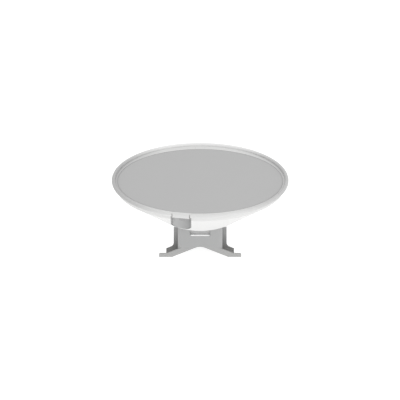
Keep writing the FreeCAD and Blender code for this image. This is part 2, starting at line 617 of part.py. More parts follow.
def pad_blocks(name, height):
    """The rubber pad under each front foot, let into the foot."""
    return [box(name, ("%s" % low, "%s" % high), ("-front_face + 1", "-front_face + leg_thickness - 1"),
                ("0", height))
            for low, high in (("-foot_half + 6", "-arch_half - 12"), ("arch_half + 12", "foot_half - 6"))]


# Outside the column the legs are only as deep as a plate.
leg_relief = [box("leg_relief", span, ("-front_face + leg_thickness", "-wing_front + 1"),
                  ("-1", "leg_top + 1"))
              for span in (("-foot_half - 1", "-column_half"), ("column_half", "foot_half + 1"))]
casting_bolt_holes = [rod("casting_bolt_hole", "bolt_radius", "casting_wall + 2", x, y,
                          "column_top - casting_wall - 1") for x, y in FRONT_BOLTS]
node(cut("front_casting", fuse("front_with_bosses", front, boss_form), *frame_screw_holes, *access_holes,
         *casting_bolt_holes, *leg_relief, *pad_blocks("pad_seat", "pad_thickness")), "front_casting")
node(group("foot_pads", pad_blocks("foot_pad", "pad_thickness")), "foot_pads")

frame = new_body("frame")
wing_profile = column_profile(frame, "wing_profile", [
    ("wing_half", "column_top"), ("wing_half", "wing_knee"), ("wing_foot_half", "wing_foot_height"),
    ("wing_foot_half", "0"), ("arch_half", "0"), ("0", "arch_apex")], "wing_front")
wing_pad = pad(frame, "wing_pad", wing_profile, "wing_thickness", reverse=True)
wing_apex = rounded(frame, "wing_apex", wing_pad, "arch_apex_radius", at_line("0", "arch_apex", DEEP))
wing_knees = rounded(frame, "wing_knees", wing_apex, "wing_flare", at_line("wing_half", "wing_knee", DEEP))
wall_front = "-wing_front + wing_thickness - 1"
side_walls = [box("side_wall", span, (wall_front, "frame_back"), ("0", "column_top"))
              for span in (("-wing_half", "-wing_half + frame_wall"), ("wing_half - frame_wall",
                                                                       "wing_half"))]
rear_wall = box("rear_wall", ("-wing_half", "wing_half"), ("frame_back - frame_wall", "frame_back"),
                ("0", "column_top"))
DECK_SPOTS = [("%d * bolt_half_x" % sx, "bolt_front + %d * bolt_pitch_y" % row)
              for sx in (-1, 1) for row in (0, 1)]
deck_bosses = [rod("deck_boss", "boss_radius", "boss_height", x, y) for x, y in DECK_SPOTS]
deck_holes = [rod("deck_hole", "bolt_hole_radius", "bolt_hole_depth", x, y) for x, y in DECK_SPOTS]
cable_exit = box("cable_exit", ("-exit_half", "exit_half"), ("frame_back - frame_wall - 5", "frame_back + 5"),
                 ("0", "exit_height"))
node(cut("rear_frame", fuse("frame_solid", frame, *side_walls, rear_wall, *deck_bosses), cable_exit,
         *deck_holes, *frame_screw_holes), "rear_frame")

top_block = box("top_block", ("-wing_half", "wing_half"), ("-front_face", "frame_back"),
                ("column_top", "base_plane"))
top_window = box("top_window", ("-window_half", "window_half"), ("window_front", "window_back"),
                 ("column_top - 1", "base_plane + 1"))
plate_bolt_holes = [rod("plate_bolt_hole", "bolt_radius", "top_plate_thickness + 2", x, y, "column_top - 1")
                    for x, y in FRONT_BOLTS + REAR_BOLTS]
node(cut("top_plate", top_block, top_window, *plate_bolt_holes), "top_plate")
bolt_length = "shell_wall + top_plate_thickness + casting_wall + nut_height + 2"
node(group("shell_bolts", [screw("shell_bolt", "bolt_radius", bolt_length, "bolt_head_radius",
                                 "bolt_head", x, y,
                                 "base_top") for x, y in FRONT_BOLTS + REAR_BOLTS]), "shell_bolts")
# The front nuts tighten under the casting's top wall, the rear nuts under the top plate itself.
nut_seats = [(x, y, "(column_top - casting_wall - nut_height)") for x, y in FRONT_BOLTS]
nut_seats += [(x, y, "(column_top - nut_height)") for x, y in REAR_BOLTS]
node(group("shell_nuts", [cut("shell_nut", rod("nut_out", "bolt_head_radius", "nut_height", x, y, seat),
                              rod("nut_in", "bolt_radius", "nut_height", x, y, seat))
                          for x, y, seat in nut_seats]), "shell_nuts")
node(group("frame_screws", [screw("frame_screw", "frame_screw_radius", "wing_thickness + 9",
                                  "frame_head_radius",
                                  "frame_head", x, "-wing_front + wing_thickness", z, "y")
                            for x, z in FRAME_SPOTS]), "frame_screws")
access_block = box("access_block", ("-recess_width / 2 + access_gap", "recess_width / 2 - access_gap"),
                   ("-front_face + recess_depth - access_thickness", "-front_face + recess_depth"),
                   ("recess_bottom + access_gap", "recess_bottom + recess_height - access_gap"))
access_round = doc.addObject("Part::Fillet", "access_round")
doc.recompute()
access_round.Base = access_block
access_round.Edges = [(index, value("recess_corner"), value("recess_corner"))
                      for index, edge in enumerate(access_block.Shape.Edges, start=1)
                      if abs((edge.Vertexes[1].Point - edge.Vertexes[0].Point).y) > 1]
access_plate_holes = [rod("access_plate_hole", "screw_radius", "access_thickness + 2", x,
                          "-front_face + recess_depth - access_thickness - 1", z, "y") for x,
                          z in access_spots]
node(cut("access_plate", access_round, *access_plate_holes), "access_plate")
node(group("access_screws", [screw("access_screw", "screw_radius", "access_thickness + casting_wall - 0.5",
                                   "slim_head_radius", "slim_head", x,
                                   "-front_face + recess_depth - access_thickness", z, "y", 1)
                             for x, z in access_spots]), "access_screws")

# ---------------------------------------------------------------- sockets in the bowl's base
for name, (x, y, radius) in SOCKETS.items():
    barrel = rod(name + "_barrel", radius, "shell_wall + socket_drop", x, y, "base_plane - socket_drop")
    collar = rod(name + "_collar", radius + " + collar_width", "collar_height", x, y, "base_top")
    mouth = rod(name + "_mouth", radius + " - socket_wall", "socket_mouth", x, y, "base_plane - socket_drop")
    node(cut(name, fuse(name + "_solid", barrel, collar), mouth), name)

# ---------------------------------------------------------------- chassis
MOTOR_SPOTS = [("gear_centres + %d * motor_screw_spread" % sx, "%d * motor_screw_spread" % sy)
               for sx in (-1, 1) for sy in (-1, 1)]
HOUSING_SPOTS = [("(housing_flange - 4.5) * cos(%d)" % angle, "(housing_flange - 4.5) * sin(%d)" % angle)
                 for angle in (45, 135, 225, 315)]
chassis_disc = rod("chassis_disc", "chassis_radius", "chassis_thickness", z="chassis_under")
chassis_holes = [rod("chassis_hole", "screw_radius", "chassis_thickness", x, y, "chassis_under")
                 for x, y in STANDOFF_SPOTS + MOTOR_SPOTS + HOUSING_SPOTS]
chassis_centre = rod("chassis_centre", "14", "chassis_thickness", z="chassis_under")
node(cut("chassis_plate", chassis_disc, chassis_centre, *chassis_holes), "chassis_plate")
node(group("chassis_standoffs", [cut("standoff", rod("standoff_out", "standoff_radius", "standoff_height",
                                                     x, y,
                                                     "base_top"),
                                     rod("standoff_in", "screw_radius", "12", x, y, "chassis_under - 12"))
                                 for x, y in STANDOFF_SPOTS]), "chassis_standoffs")
node(group("chassis_screws", [screw("chassis_screw", "screw_radius", "chassis_thickness + 10",
                                    "screw_head_radius", "screw_head", x, y, "chassis_top")
                              for x, y in STANDOFF_SPOTS]), "chassis_screws")

bearing_low = "(chassis_top + 5)"
bearing_high = "(chassis_top + housing_height - bearing_width - 2)"
housing_form = turned("housing_form", [
    ("bearing_radius", "chassis_top"), ("housing_flange", "chassis_top"),
    ("housing_flange", "chassis_top + 5"),
    ("housing_radius", "chassis_top + 5"), ("housing_radius", "chassis_top + housing_height"),
    ("bearing_radius", "chassis_top + housing_height"), ("bearing_radius", bearing_high),
    ("bearing_radius - 3", bearing_high), ("bearing_radius - 3", bearing_low + " + bearing_width"),
    ("bearing_radius", bearing_low + " + bearing_width")])
node(cut("bearing_housing", housing_form,
         *[rod("housing_hole", "screw_radius", "5", x, y, "chassis_top") for x, y in HOUSING_SPOTS]),
     "bearing_housing")
node(group("housing_screws", [screw("housing_screw", "screw_radius", "chassis_thickness + 5",
                                    "screw_head_radius",
                                    "screw_head", x, y, "chassis_top + 5") for x, y in HOUSING_SPOTS]),
     "housing_screws")
for name, height in (("lower_bearing", bearing_low), ("upper_bearing", bearing_high)):
    node(tube(name, "bearing_radius", "spindle_radius + running_gap", "bearing_width", height), name)

# ---------------------------------------------------------------- turning parts
spindle_form = turned("spindle_form", [
    ("spindle_bore", "spindle_foot"), ("spindle_radius", "spindle_foot"), ("spindle_radius", "spindle_head"),
    ("hub_flange", "spindle_head"), ("hub_flange", "array_floor"), ("spindle_bore", "array_floor")])
BRACKET_SPOTS = [("(hub_flange - 5) * cos(%d)" % angle, "(hub_flange - 5) * sin(%d)" % angle)
                 for angle in (0, 90, 180, 270)]


def gear_blank(teeth, first_angle, thickness_loss):
    """A straight-flanked gear outline as a face; first_angle is where one tooth points."""
    module = value("gear_module")
    pitch = module * teeth / 2
    half_tooth = (math.pi * module / 2 - thickness_loss) / 2
    heights = ((-value("gear_root") * module, value("root_gain") * module), (0, 0),
               (value("gear_tip") * module, -value("tip_loss") * module))
    flank = [(pitch + rise, half_tooth + change) for rise, change in heights]
    points = []
    for tooth in range(teeth):
        middle = math.radians(first_angle) + tooth * 2 * math.pi / teeth
        for side, run in ((-1, flank), (1, list(reversed(flank)))):
            for radius, half in run:
                angle = middle + side * half / radius
                points.append(Vector(radius * math.cos(angle), radius * math.sin(angle), 0))
    points.append(points[0])
    return Part.Face(Part.makePolygon(points))


def gear(name, teeth_name, first_angle):
    thing = doc.addObject("Part::Feature", name)
    face = gear_blank(int(value(teeth_name)), first_angle, value("gear_backlash / 2"))
    thing.Shape = face.extrude(Vector(0, 0, value("gear_width")))
    return thing


big_gear = gear("big_gear", "gear_teeth", 0)
place(big_gear, z="gear_z")
gear_hub = rod("gear_hub", "spindle_radius + gear_hub_wall", "gear_hub_height", z="gear_z - gear_hub_height")
gear_windows = [rod("gear_window", "gear_pitch / 6", "gear_width + 2", "gear_pitch * 0.55 * cos(%d)" % angle,
                    "gear_pitch * 0.55 * sin(%d)" % angle, "gear_z - 1") for angle in range(30, 390, 60)]
magnet_x = "(-gear_pitch * 0.84)"
node(cut("driven_gear", fuse("gear_solid", big_gear, gear_hub), *gear_windows,
         rod("gear_bore", "spindle_radius", "gear_width + 8", z="gear_z - 4"),
         rod("magnet_seat", "magnet_radius", "magnet_height", magnet_x, "0", "gear_z")), "driven_gear")
node(rod("zero_magnet", "magnet_radius", "magnet_height", magnet_x, "0", "gear_z"), "zero_magnet")

pinion_blank = gear("pinion_blank", "pinion_teeth", 180 + 180 / SIZES["pinion_teeth"])
place(pinion_blank, "gear_centres", "0", "gear_z")
motor_top = "(chassis_top + motor_height)"
shaft_start = "(chassis_top + 12)"
shaft_length = "(gear_z + gear_width + 2 - %s)" % shaft_start
node(cut("motor_pinion", pinion_blank, rod("pinion_bore", "motor_shaft_radius", "gear_width + 2",
                                           "gear_centres",
                                           "0", "gear_z - 1")), "motor_pinion")
node(rod("motor_shaft", "motor_shaft_radius", shaft_length, "gear_centres", "0", shaft_start), "motor_shaft")
motor_block = box("motor_block", ("gear_centres - motor_side / 2", "gear_centres + motor_side / 2"),
                  ("-motor_side / 2", "motor_side / 2"), ("chassis_top", motor_top))
motor_form = doc.addObject("Part::Chamfer", "motor_form")
doc.recompute()
motor_form.Base = motor_block
motor_form.Edges = [(index, value("motor_corner"), value("motor_corner"))
                    for index, edge in enumerate(motor_block.Shape.Edges, start=1)
                    if abs((edge.Vertexes[1].Point - edge.Vertexes[0].Point).z) > 1]
motor_boss = rod("motor_boss", "motor_boss_radius", "motor_boss_height", "gear_centres", "0", motor_top)
motor_bore = rod("motor_bore", "motor_shaft_radius + running_gap", "motor_height", "gear_centres", "0",
                 shaft_start + " - 1")
motor_taps = [rod("motor_tap", "screw_radius", "6", x, y, "chassis_top") for x, y in MOTOR_SPOTS]
node(cut("drive_motor", fuse("motor_solid", motor_form, motor_boss), motor_bore, *motor_taps), "drive_motor")
node(group("motor_screws", [screw("motor_screw", "screw_radius", "chassis_thickness + 6", "slim_head_radius",
                                  "screw_head", x, y, "chassis_under", "z", 1) for x, y in MOTOR_SPOTS]),
     "motor_screws")

bracket_top = "(array_floor + bracket_thickness)"
array_top = "(array_floor + bracket_thickness + array_height)"
bracket = box("bracket", ("-bracket_half", "bracket_half"), ("-array_depth / 2", "array_depth / 2"),
              ("array_floor", bracket_top))
bracket_holes = [rod("bracket_hole", "screw_radius", "bracket_thickness - 1", x, y, "array_floor")
                 for x, y in BRACKET_SPOTS]
hub_holes = [rod("hub_hole", "screw_radius", "hub_thickness", x, y, "spindle_head") for x, y in BRACKET_SPOTS]
node(cut("spindle", spindle_form, *hub_holes), "spindle")
node(cut("array_bracket", bracket, *bracket_holes,
         rod("feed_hole", "spindle_bore", "bracket_thickness + 2", z="array_floor - 1")), "array_bracket")
node(group("array_screws", [screw("array_screw", "screw_radius", "hub_thickness + bracket_thickness - 1",
                                  "slim_head_radius", "slim_head", x, y, "spindle_head", "z", 1)
                            for x, y in BRACKET_SPOTS]), "array_screws")

trough_out = box("trough_out", ("-array_half", "array_half"), ("-array_depth / 2", "array_depth / 2"),
                 (bracket_top, array_top))
trough_in = box("trough_in", ("-array_half + array_wall", "array_half - array_wall"),
                ("-array_depth / 2 - 1", "array_depth / 2 - array_wall"),
                (bracket_top + " + array_wall", array_top + " - array_wall"))
node(cut("array_housing", trough_out, trough_in), "array_housing")
node(box("array_window", ("-array_half", "array_half"), ("-array_depth / 2 - window_thickness",
                                                         "-array_depth / 2"),
         (bracket_top, array_top)), "array_window")
node(group("array_end_caps", [box("end_cap", span, ("-array_depth / 2 - window_thickness", "array_depth / 2"),
                                  (bracket_top, array_top))
                              for span in (("-array_half - cap_length", "-array_half"),
                                           ("array_half", "array_half + cap_length"))]), "array_end_caps")

# ---------------------------------------------------------------- electronics
joint_foot = "(chassis_under - joint_thickness)"
joint_flange = rod("joint_flange", "joint_flange_radius", "joint_thickness", z=joint_foot)
joint_stem = rod("joint_stem", "spindle_bore - joint_stem_gap", "spindle_head - 1 - %s" % joint_foot,
                 z=joint_foot)
joint_ears = rod("joint_plate", "joint_plate_radius", "joint_plate", z="chassis_under - joint_plate")
node(fuse("rotary_joint", joint_flange, joint_stem, joint_ears), "rotary_joint")
unit_span = ("-unit_outer", "-unit_inner")
node(box("transceiver", unit_span, ("-unit_half_y", "unit_half_y"),
         ("chassis_top", "chassis_top + unit_height")),
     "transceiver")
unit_top = "(chassis_top + unit_height)"
sink_plate = box("sink_plate", unit_span, ("-unit_half_y", "unit_half_y"),
                 (unit_top, unit_top + " + sink_foot"))
fins = []
for number in range(SIZES["fin_count"]):
    fin_y = "(-unit_half_y + %d * (2 * unit_half_y - fin_width) / (fin_count - 1))" % number
    fins.append(box("fin", unit_span, (fin_y, fin_y + " + fin_width"),
                    (unit_top + " + sink_foot - 1", unit_top + " + fin_height")))
node(fuse("heat_sink", sink_plate, *fins), "heat_sink")
board_z = "(chassis_top + board_lift)"
board_face = "(chassis_top + board_lift + board_thickness)"
spacers = []
for name, side in (("processor_board", 1), ("power_board", -1)):
    near, far = sorted(("%d * board_start" % side, "%d * (board_start + board_depth)" % side), key=value)
    spots = [("%d * (board_half_x - board_inset)" % sx, "%d * %s" % (side, y)) for sx in (-1, 1)
             for y in ("(board_start + board_inset)", "(board_start + board_depth - board_inset)")]
    slab = box(name + "_slab", ("-board_half_x", "board_half_x"), (near, far), (board_z, board_face))
    node(cut(name, slab, *[rod(name + "_hole", "spacer_hole", "board_thickness + 2", x, y, board_z + " - 1")
                           for x, y in spots]), name)
    spacers += [rod("spacer", "spacer_radius", "board_lift", x, y, "chassis_top") for x, y in spots]
node(group("board_spacers", spacers), "board_spacers")
node(box("shield_can", ("-can_half", "can_half"), ("board_start + 2 * board_inset",
                                                   "board_start + 2 * board_inset + can_depth"),
         (board_face, board_face + " + can_height")), "shield_can")
node(rod("power_inductor", "coil_radius", "coil_height", "coil_x", "-board_start - coil_inset", board_face),
     "power_inductor")
node(group("power_capacitors", [rod("capacitor", "capacitor_radius", "capacitor_height",
                                    "capacitor_x + %d * capacitor_pitch" % number,
                                    "-board_start - capacitor_inset", board_face)
                                for number in range(3)]), "power_capacitors")
node(box("position_sensor", (magnet_x + " - sensor_half", magnet_x + " + sensor_half"),
         ("-sensor_half_y", "sensor_half_y"), (unit_top + " + fin_height", "gear_z - sensor_gap")),
     "position_sensor")

# ---------------------------------------------------------------- check and write
doc.recompute()
faults = [thing.Name for thing in doc.Objects if {"Invalid", "Error"} & set(thing.State)]
faults += [thing.Label for thing in nodes if thing.Shape.isNull() or not thing.Shape.isValid()
           or not thing.Shape.Solids]
if faults:
    raise RuntimeError("failed: " + ", ".join(faults))
os.makedirs("parts", exist_ok=True)
for thing in nodes:
    thing.Shape.exportStep("parts/%s.step" % thing.Label)
print(len(nodes), "nodes written")
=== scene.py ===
import bpy, bmesh, math
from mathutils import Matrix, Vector


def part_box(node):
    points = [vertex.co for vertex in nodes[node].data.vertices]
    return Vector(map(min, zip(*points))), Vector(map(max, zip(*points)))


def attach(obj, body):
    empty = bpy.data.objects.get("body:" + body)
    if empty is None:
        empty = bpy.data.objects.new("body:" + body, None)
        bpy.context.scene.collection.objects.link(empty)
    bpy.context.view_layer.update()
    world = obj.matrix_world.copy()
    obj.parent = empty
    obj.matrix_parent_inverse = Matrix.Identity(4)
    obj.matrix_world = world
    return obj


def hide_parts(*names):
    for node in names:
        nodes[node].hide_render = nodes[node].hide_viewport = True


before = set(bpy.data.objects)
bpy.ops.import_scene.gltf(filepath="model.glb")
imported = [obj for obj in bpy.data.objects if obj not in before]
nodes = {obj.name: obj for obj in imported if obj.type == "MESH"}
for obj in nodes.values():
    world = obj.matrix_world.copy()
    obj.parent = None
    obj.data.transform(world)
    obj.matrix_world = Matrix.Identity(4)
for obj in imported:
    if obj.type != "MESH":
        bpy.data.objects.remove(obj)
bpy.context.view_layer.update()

scene = bpy.context.scene
scene.view_settings.view_transform = "Standard"

# ---- Room and camera
# A white floor that runs out of sight, a white room with one wide soft light over the right
# shoulder, and a long lens that looks down on the dome.
trim_low, trim_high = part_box("cover_trim_rear")
dome_radius = trim_high.y
rim_height = (trim_low.z + trim_high.z) / 2
floor_mesh = bpy.data.meshes.new("floor")
floor_mesh.from_pydata([(-40, -40, 0), (40, -40, 0), (40, 40, 0), (-40, 40, 0)], [], [(0, 1, 2, 3)])
floor = bpy.data.objects.new("floor", floor_mesh)
scene.collection.objects.link(floor)

look_down = math.radians(24.6)
lens, sensor, view_width = 1800, 36, 1.38
target = Vector((-0.0005, 0, rim_height - 0.0743))
away = Vector((0, -math.cos(look_down), math.sin(look_down)))
camera = bpy.data.objects.new("camera", bpy.data.cameras.new("camera"))
camera.data.lens, camera.data.sensor_width = lens, sensor
camera.data.clip_start, camera.data.clip_end = 1.0, 300
camera.location = target + away * view_width * lens / sensor
camera.rotation_euler = (math.pi / 2 - look_down, 0, 0)
scene.collection.objects.link(camera)
scene.camera = camera


def soft_light(name, place, size, power):
    light = bpy.data.objects.new(name, bpy.data.lights.new(name, "AREA"))
    light.data.size = size
    light.data.energy = power
    light.location = place
    light.rotation_euler = (Vector((0, 0, 0.2)) - light.location).to_track_quat("-Z", "Y").to_euler()
    scene.collection.objects.link(light)


soft_light("key", Vector((2.6, -2.6, 2.4)), 2.5, 22)
soft_light("top", Vector((0.4, 0.5, 4.5)), 3.5, 26)

world = bpy.data.worlds.new("room")
world.use_nodes = True
world.node_tree.nodes["Background"].inputs["Color"].default_value = (1, 1, 1, 1)
world.node_tree.nodes["Background"].inputs["Strength"].default_value = 0.85
scene.world = world


# ---- Pedestal casting and its feet
# Two die-cast, powder-coated halves: a column with splayed legs in front and a frame behind it
# whose darker grey is painted shade. Rubber pads are pressed into the front feet.
class Value:
    """A socket that can be used in sums; every operator adds a Math node."""

    def __init__(self, graph, socket):
        self.graph, self.socket = graph, socket

    def math(self, operation, *terms):
        return self.graph.node("ShaderNodeMath", {"operation": operation}, dict(enumerate(terms)))

    def __add__(self, other): return self.math("ADD", self, other)
    def __radd__(self, other): return self.math("ADD", other, self)
    def __sub__(self, other): return self.math("SUBTRACT", self, other)
    def __rsub__(self, other): return self.math("SUBTRACT", other, self)
    def __mul__(self, other): return self.math("MULTIPLY", self, other)
    def __rmul__(self, other): return self.math("MULTIPLY", other, self)
    def __truediv__(self, other): return self.math("DIVIDE", self, other)
    def __pow__(self, other): return self.math("POWER", self, other)
    def over(self, other): return self.math("GREATER_THAN", self, other)
    def under(self, other): return self.math("LESS_THAN", self, other)

    def ramp(self, low, high):
        """0 below low, 1 above high and smooth between."""
        return self.graph.node("ShaderNodeMapRange", {"interpolation_type": "SMOOTHSTEP"},
                               {"Value": self, "From Min": low, "From Max": high})


class Graph:
    """A node tree; node() adds any node and returns one of its outputs."""

    def node(self, kind, settings=None, sockets=None, output=0):
        made = self.tree.nodes.new(kind)
        for key, setting in (settings or {}).items():
            setattr(made, key, setting)
        for key, given in (sockets or {}).items():
            socket = made.inputs[key] if isinstance(key, int) else next(
                item for item in made.inputs if item.name == key and item.enabled)
            if isinstance(given, Value):
                self.tree.links.new(given.socket, socket)
            elif given is not None:
                socket.default_value = given
        if isinstance(output, str):
            return Value(self, next(item for item in made.outputs if item.name == output and item.enabled))
        return Value(self, made.outputs[output]) if made.outputs else made


class Finish(Graph):
    """A material built on Object coordinates; surface() adds the shader that ends it."""

    def __init__(self, name):
        self.material = bpy.data.materials.new(name)
        self.material.use_nodes = True
        self.tree = self.material.node_tree
        self.tree.nodes.clear()
        self.place = self.node("ShaderNodeTexCoord", output="Object")

    def stretched(self, scale):
        return self.node("ShaderNodeMapping", None, {"Vector": self.place, "Scale": scale})

    def noise(self, scale, detail=2.0, where=None):
        return self.node("ShaderNodeTexNoise", None,
                         {"Vector": where or self.place, "Scale": scale, "Detail": detail})

    def cells(self, scale, output="Distance", feature="F1"):
        return self.node("ShaderNodeTexVoronoi", {"feature": feature},
                         {"Vector": self.place, "Scale": scale}, output)

    def axes(self):
        parts = self.tree.nodes.new("ShaderNodeSeparateXYZ")
        self.tree.links.new(self.place.socket, parts.inputs[0])
        return [Value(self, item) for item in parts.outputs]

    def mix(self, factor, first, second):
        return self.node("ShaderNodeMix", {"data_type": "RGBA"}, {
            "Factor": factor, "A": (*first, 1) if isinstance(first, tuple) else first,
            "B": (*second, 1) if isinstance(second, tuple) else second}, "Result")

    def shade(self, colour, amount, factor):
        """The colour, darkened by amount where factor is 1."""
        dark = tuple(part * (1 - amount) for part in colour)
        return self.mix(factor, colour, dark)

    def surface(self, colour, roughness, metallic=0.0, height=None, depth=0.0001, constants=None):
        sockets = {"Base Color": (*colour, 1) if isinstance(colour, tuple) else colour,
                   "Roughness": roughness, "Metallic": metallic}
        sockets.update(constants or {})
        if height is not None:
            sockets["Normal"] = self.node("ShaderNodeBump", None, {"Height": height, "Distance": depth})
        shader = self.node("ShaderNodeBsdfPrincipled", None, sockets)
        self.node("ShaderNodeOutputMaterial", None, {"Surface": shader})
        return self.material


def powder_coat(name, colour, dirt_top, deck_shade_colour=None):
    """Powder coat: orange peel, a fine pepper of paler grains, rubbed spots and dust near the deck;
    the optional low colour is painted shade, a darker tone blended in towards the deck."""
    coat = Finish(name)
    peel = coat.noise(420, 2.0)
    pepper = coat.noise(2600, 1.0).ramp(0.55, 0.75)
    worn = coat.noise(38, 4.0).ramp(0.62, 0.72)
    dust = coat.noise(55, 3.0) * (1 - coat.axes()[2].ramp(0.0, dirt_top))
    toned = coat.mix(pepper * 0.12, coat.shade(colour, 0.10, coat.noise(9, 2.0)), (0.8, 0.8, 0.8))
    if deck_shade_colour:
        # Painted shade: the coat turns to the low colour near the deck.
        toned = coat.mix(coat.axes()[2].ramp(0.01, 0.11), deck_shade_colour, toned)
    toned = coat.mix(dust * 0.2, toned, (0.50, 0.47, 0.42))
    return coat.surface(toned, 0.42 + peel * 0.22 - worn * 0.12, height=peel + pepper * 0.2, depth=0.00025)


def rubber(name):
    """Moulded rubber with a faint bloom of dust."""
    skin = Finish(name)
    grain = skin.noise(900, 3.0)
    bloom = skin.noise(40, 4.0).ramp(0.45, 0.8)
    return skin.surface(skin.mix(bloom * 0.25, (0.022, 0.022, 0.023), (0.12, 0.115, 0.11)),
                        0.72 + grain * 0.2, height=grain, depth=0.00012)


def paint(material, *names):
    for name in names:
        slots = nodes[name].data.materials
        slots.clear()
        slots.append(material)


pedestal_grey = powder_coat("pedestal_grey", (0.412, 0.415, 0.415), 0.05)
# The access plate's grey is lighter than the column's to offset the shade in its recess: painted light.
plate_grey_painted_light = powder_coat("plate_grey_painted_light", (0.49, 0.493, 0.493), 0.05)
# The frame's grey is darker than the column's, and darker still towards the deck: painted shade.
frame_grey = powder_coat("frame_grey", (0.37, 0.372, 0.372), 0.06, (0.17, 0.171, 0.171))
black_rubber = rubber("black_rubber")
paint(pedestal_grey, "front_casting")
paint(plate_grey_painted_light, "access_plate")
paint(frame_grey, "rear_frame")
paint(black_rubber, "foot_pads", "rim_seal")


# A near-white strip along the bottom of the column's shallow recess, nearly as wide as the plate: a painted highlight.
plate_low, plate_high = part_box("access_plate")
casting_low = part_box("front_casting")[0]
lip_half, lip_thick = plate_high.x - 0.0009, 0.0032
lip_floor = plate_low.z - 0.0005
lip = bpy.data.meshes.new("lip")
lip_corners = [(sx * lip_half, y, z) for z in (lip_floor, lip_floor + lip_thick)
               for sx, y in ((-1, casting_low.y), (1, casting_low.y), (1, plate_low.y), (-1, plate_low.y))]
lip.from_pydata(lip_corners, [], [(3, 2, 1, 0), (4, 5, 6, 7), (0, 1, 5, 4), (1, 2, 6, 5), (2, 3, 7, 6), (3, 0, 4, 7)])

# ---- Screws of the pedestal
# Stainless: two cross-head screws hold the access plate, four socket-head screws join the two
# castings, and four hexagon bolts with nuts and washers clamp the bowl to the top plate.
def metal(name, colour, roughness, grain, marks=0.3, depth=0.00004):
    """Metal with fine lines along one way; grain stretches the lines."""
    bar = Finish(name)
    lines = bar.noise(1.0, 3.0, bar.stretched(grain))
    smudge = bar.noise(45, 4.0).ramp(0.45, 0.75)
    return bar.surface(bar.shade(colour, marks, lines), roughness + lines * 0.12 + smudge * 0.14, 1.0,
                       height=lines, depth=depth)


stainless = metal("stainless", (0.62, 0.61, 0.60), 0.22, (900, 900, 120), 0.25)
alloy = metal("alloy", (0.72, 0.73, 0.74), 0.34, (260, 2400, 2400), 0.18)


def round_and_round(name, profile, steps=32):
    """A mesh turned about Z from (radius, height, shape) rings; shape is round, hex or cross."""
    arm_half, cross_waist = 0.25, 0.3
    made = bmesh.new()
    rings = []
    for radius, height, *shape in profile:
        kind = shape[0] if shape else "round"
        ring = []
        for step in range(steps if radius > 0 else 1):
            angle = 2 * math.pi * step / steps
            reach = radius
            if kind == "hex":
                reach = radius * math.cos(math.pi / 6) / math.cos((angle + math.pi / 6) % (math.pi / 3) - math.pi / 6)
            if kind == "cross" and abs((angle + math.pi / 4) % (math.pi / 2) - math.pi / 4) >= arm_half:
                reach = radius * cross_waist
            ring.append(made.verts.new((reach * math.cos(angle), reach * math.sin(angle), height)))
        rings.append(ring)
    for low, high in zip(rings, rings[1:]):
        for step in range(steps):
            after = (step + 1) % steps
            corners = [low[step % len(low)], low[after % len(low)], high[after % len(high)], high[step % len(high)]]
            corners = list(dict.fromkeys(corners))
            made.faces.new(corners)
    bmesh.ops.recalc_face_normals(made, faces=made.faces)
    mesh = bpy.data.meshes.new(name)
    made.to_mesh(mesh)
    made.free()
    return mesh


class Pattern(Graph):
    """A Geometry Nodes tree that repeats a piece; its inputs are set by name when it grows."""

    def __init__(self, name, **inputs):
        self.tree = bpy.data.node_groups.new(name, "GeometryNodeTree")
        self.tree.interface.new_socket(name="Geometry", in_out="INPUT", socket_type="NodeSocketGeometry")
        self.tree.interface.new_socket(name="Geometry", in_out="OUTPUT", socket_type="NodeSocketGeometry")
        for key, kind in dict(inputs, material="Material").items():
            self.tree.interface.new_socket(name=key, in_out="INPUT", socket_type="NodeSocket" + kind)
        entry = self.tree.nodes.new("NodeGroupInput")
        self.given = {item.name: Value(self, item) for item in entry.outputs if item.name}

    def end(self, geometry):
        """Close the tree: real geometry with the material set."""
        real = self.node("GeometryNodeRealizeInstances", None, {"Geometry": geometry})
        done = self.node("GeometryNodeSetMaterial", None, {"Geometry": real, "Material": self.given["material"]})
        self.node("NodeGroupOutput", None, {"Geometry": done})
        return self

    def grow(self, name, body, slot, replaced, start=None, **inputs):
        """Run the tree once and keep the result as a plain mesh that rides on a body."""
        carrier = bpy.data.objects.new(name + "_carrier", start or bpy.data.meshes.new(name + "_start"))
        scene.collection.objects.link(carrier)
        modifier = carrier.modifiers.new("pattern", "NODES")
        modifier.node_group = self.tree
        for item in self.tree.interface.items_tree:
            if item.in_out == "INPUT" and item.name in inputs:
                modifier[item.identifier] = inputs[item.name]
        evaluated = carrier.evaluated_get(bpy.context.evaluated_depsgraph_get())
        mesh = bpy.data.meshes.new_from_object(evaluated)
        bpy.data.objects.remove(carrier)
        return keep(name, mesh, body, replaced)


def keep(name, mesh, body, replaced=(), material=None):
    """Add a finished mesh as a piece that rides on a body."""
    piece = bpy.data.objects.new(name, mesh)
    scene.collection.objects.link(piece)
    if material:
        mesh.materials.clear()
        mesh.materials.append(material)
    mesh.shade_smooth()
    mesh.set_sharp_from_angle(angle=math.radians(35))
    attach(piece, body)
    if replaced:
        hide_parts(*replaced)
    return piece


def seats(name, places):
    """Points that carry the way each copy faces and how far it is turned about that way."""
    mesh = bpy.data.meshes.new(name)
    mesh.from_pydata([place for place, facing, turn in places], [], [])
    mesh.attributes.new("facing", "FLOAT_VECTOR", "POINT")
    mesh.attributes.new("turn", "FLOAT", "POINT")
    for index, (place, facing, turn) in enumerate(places):
        mesh.attributes["facing"].data[index].vector = facing
        mesh.attributes["turn"].data[index].value = turn
    return mesh


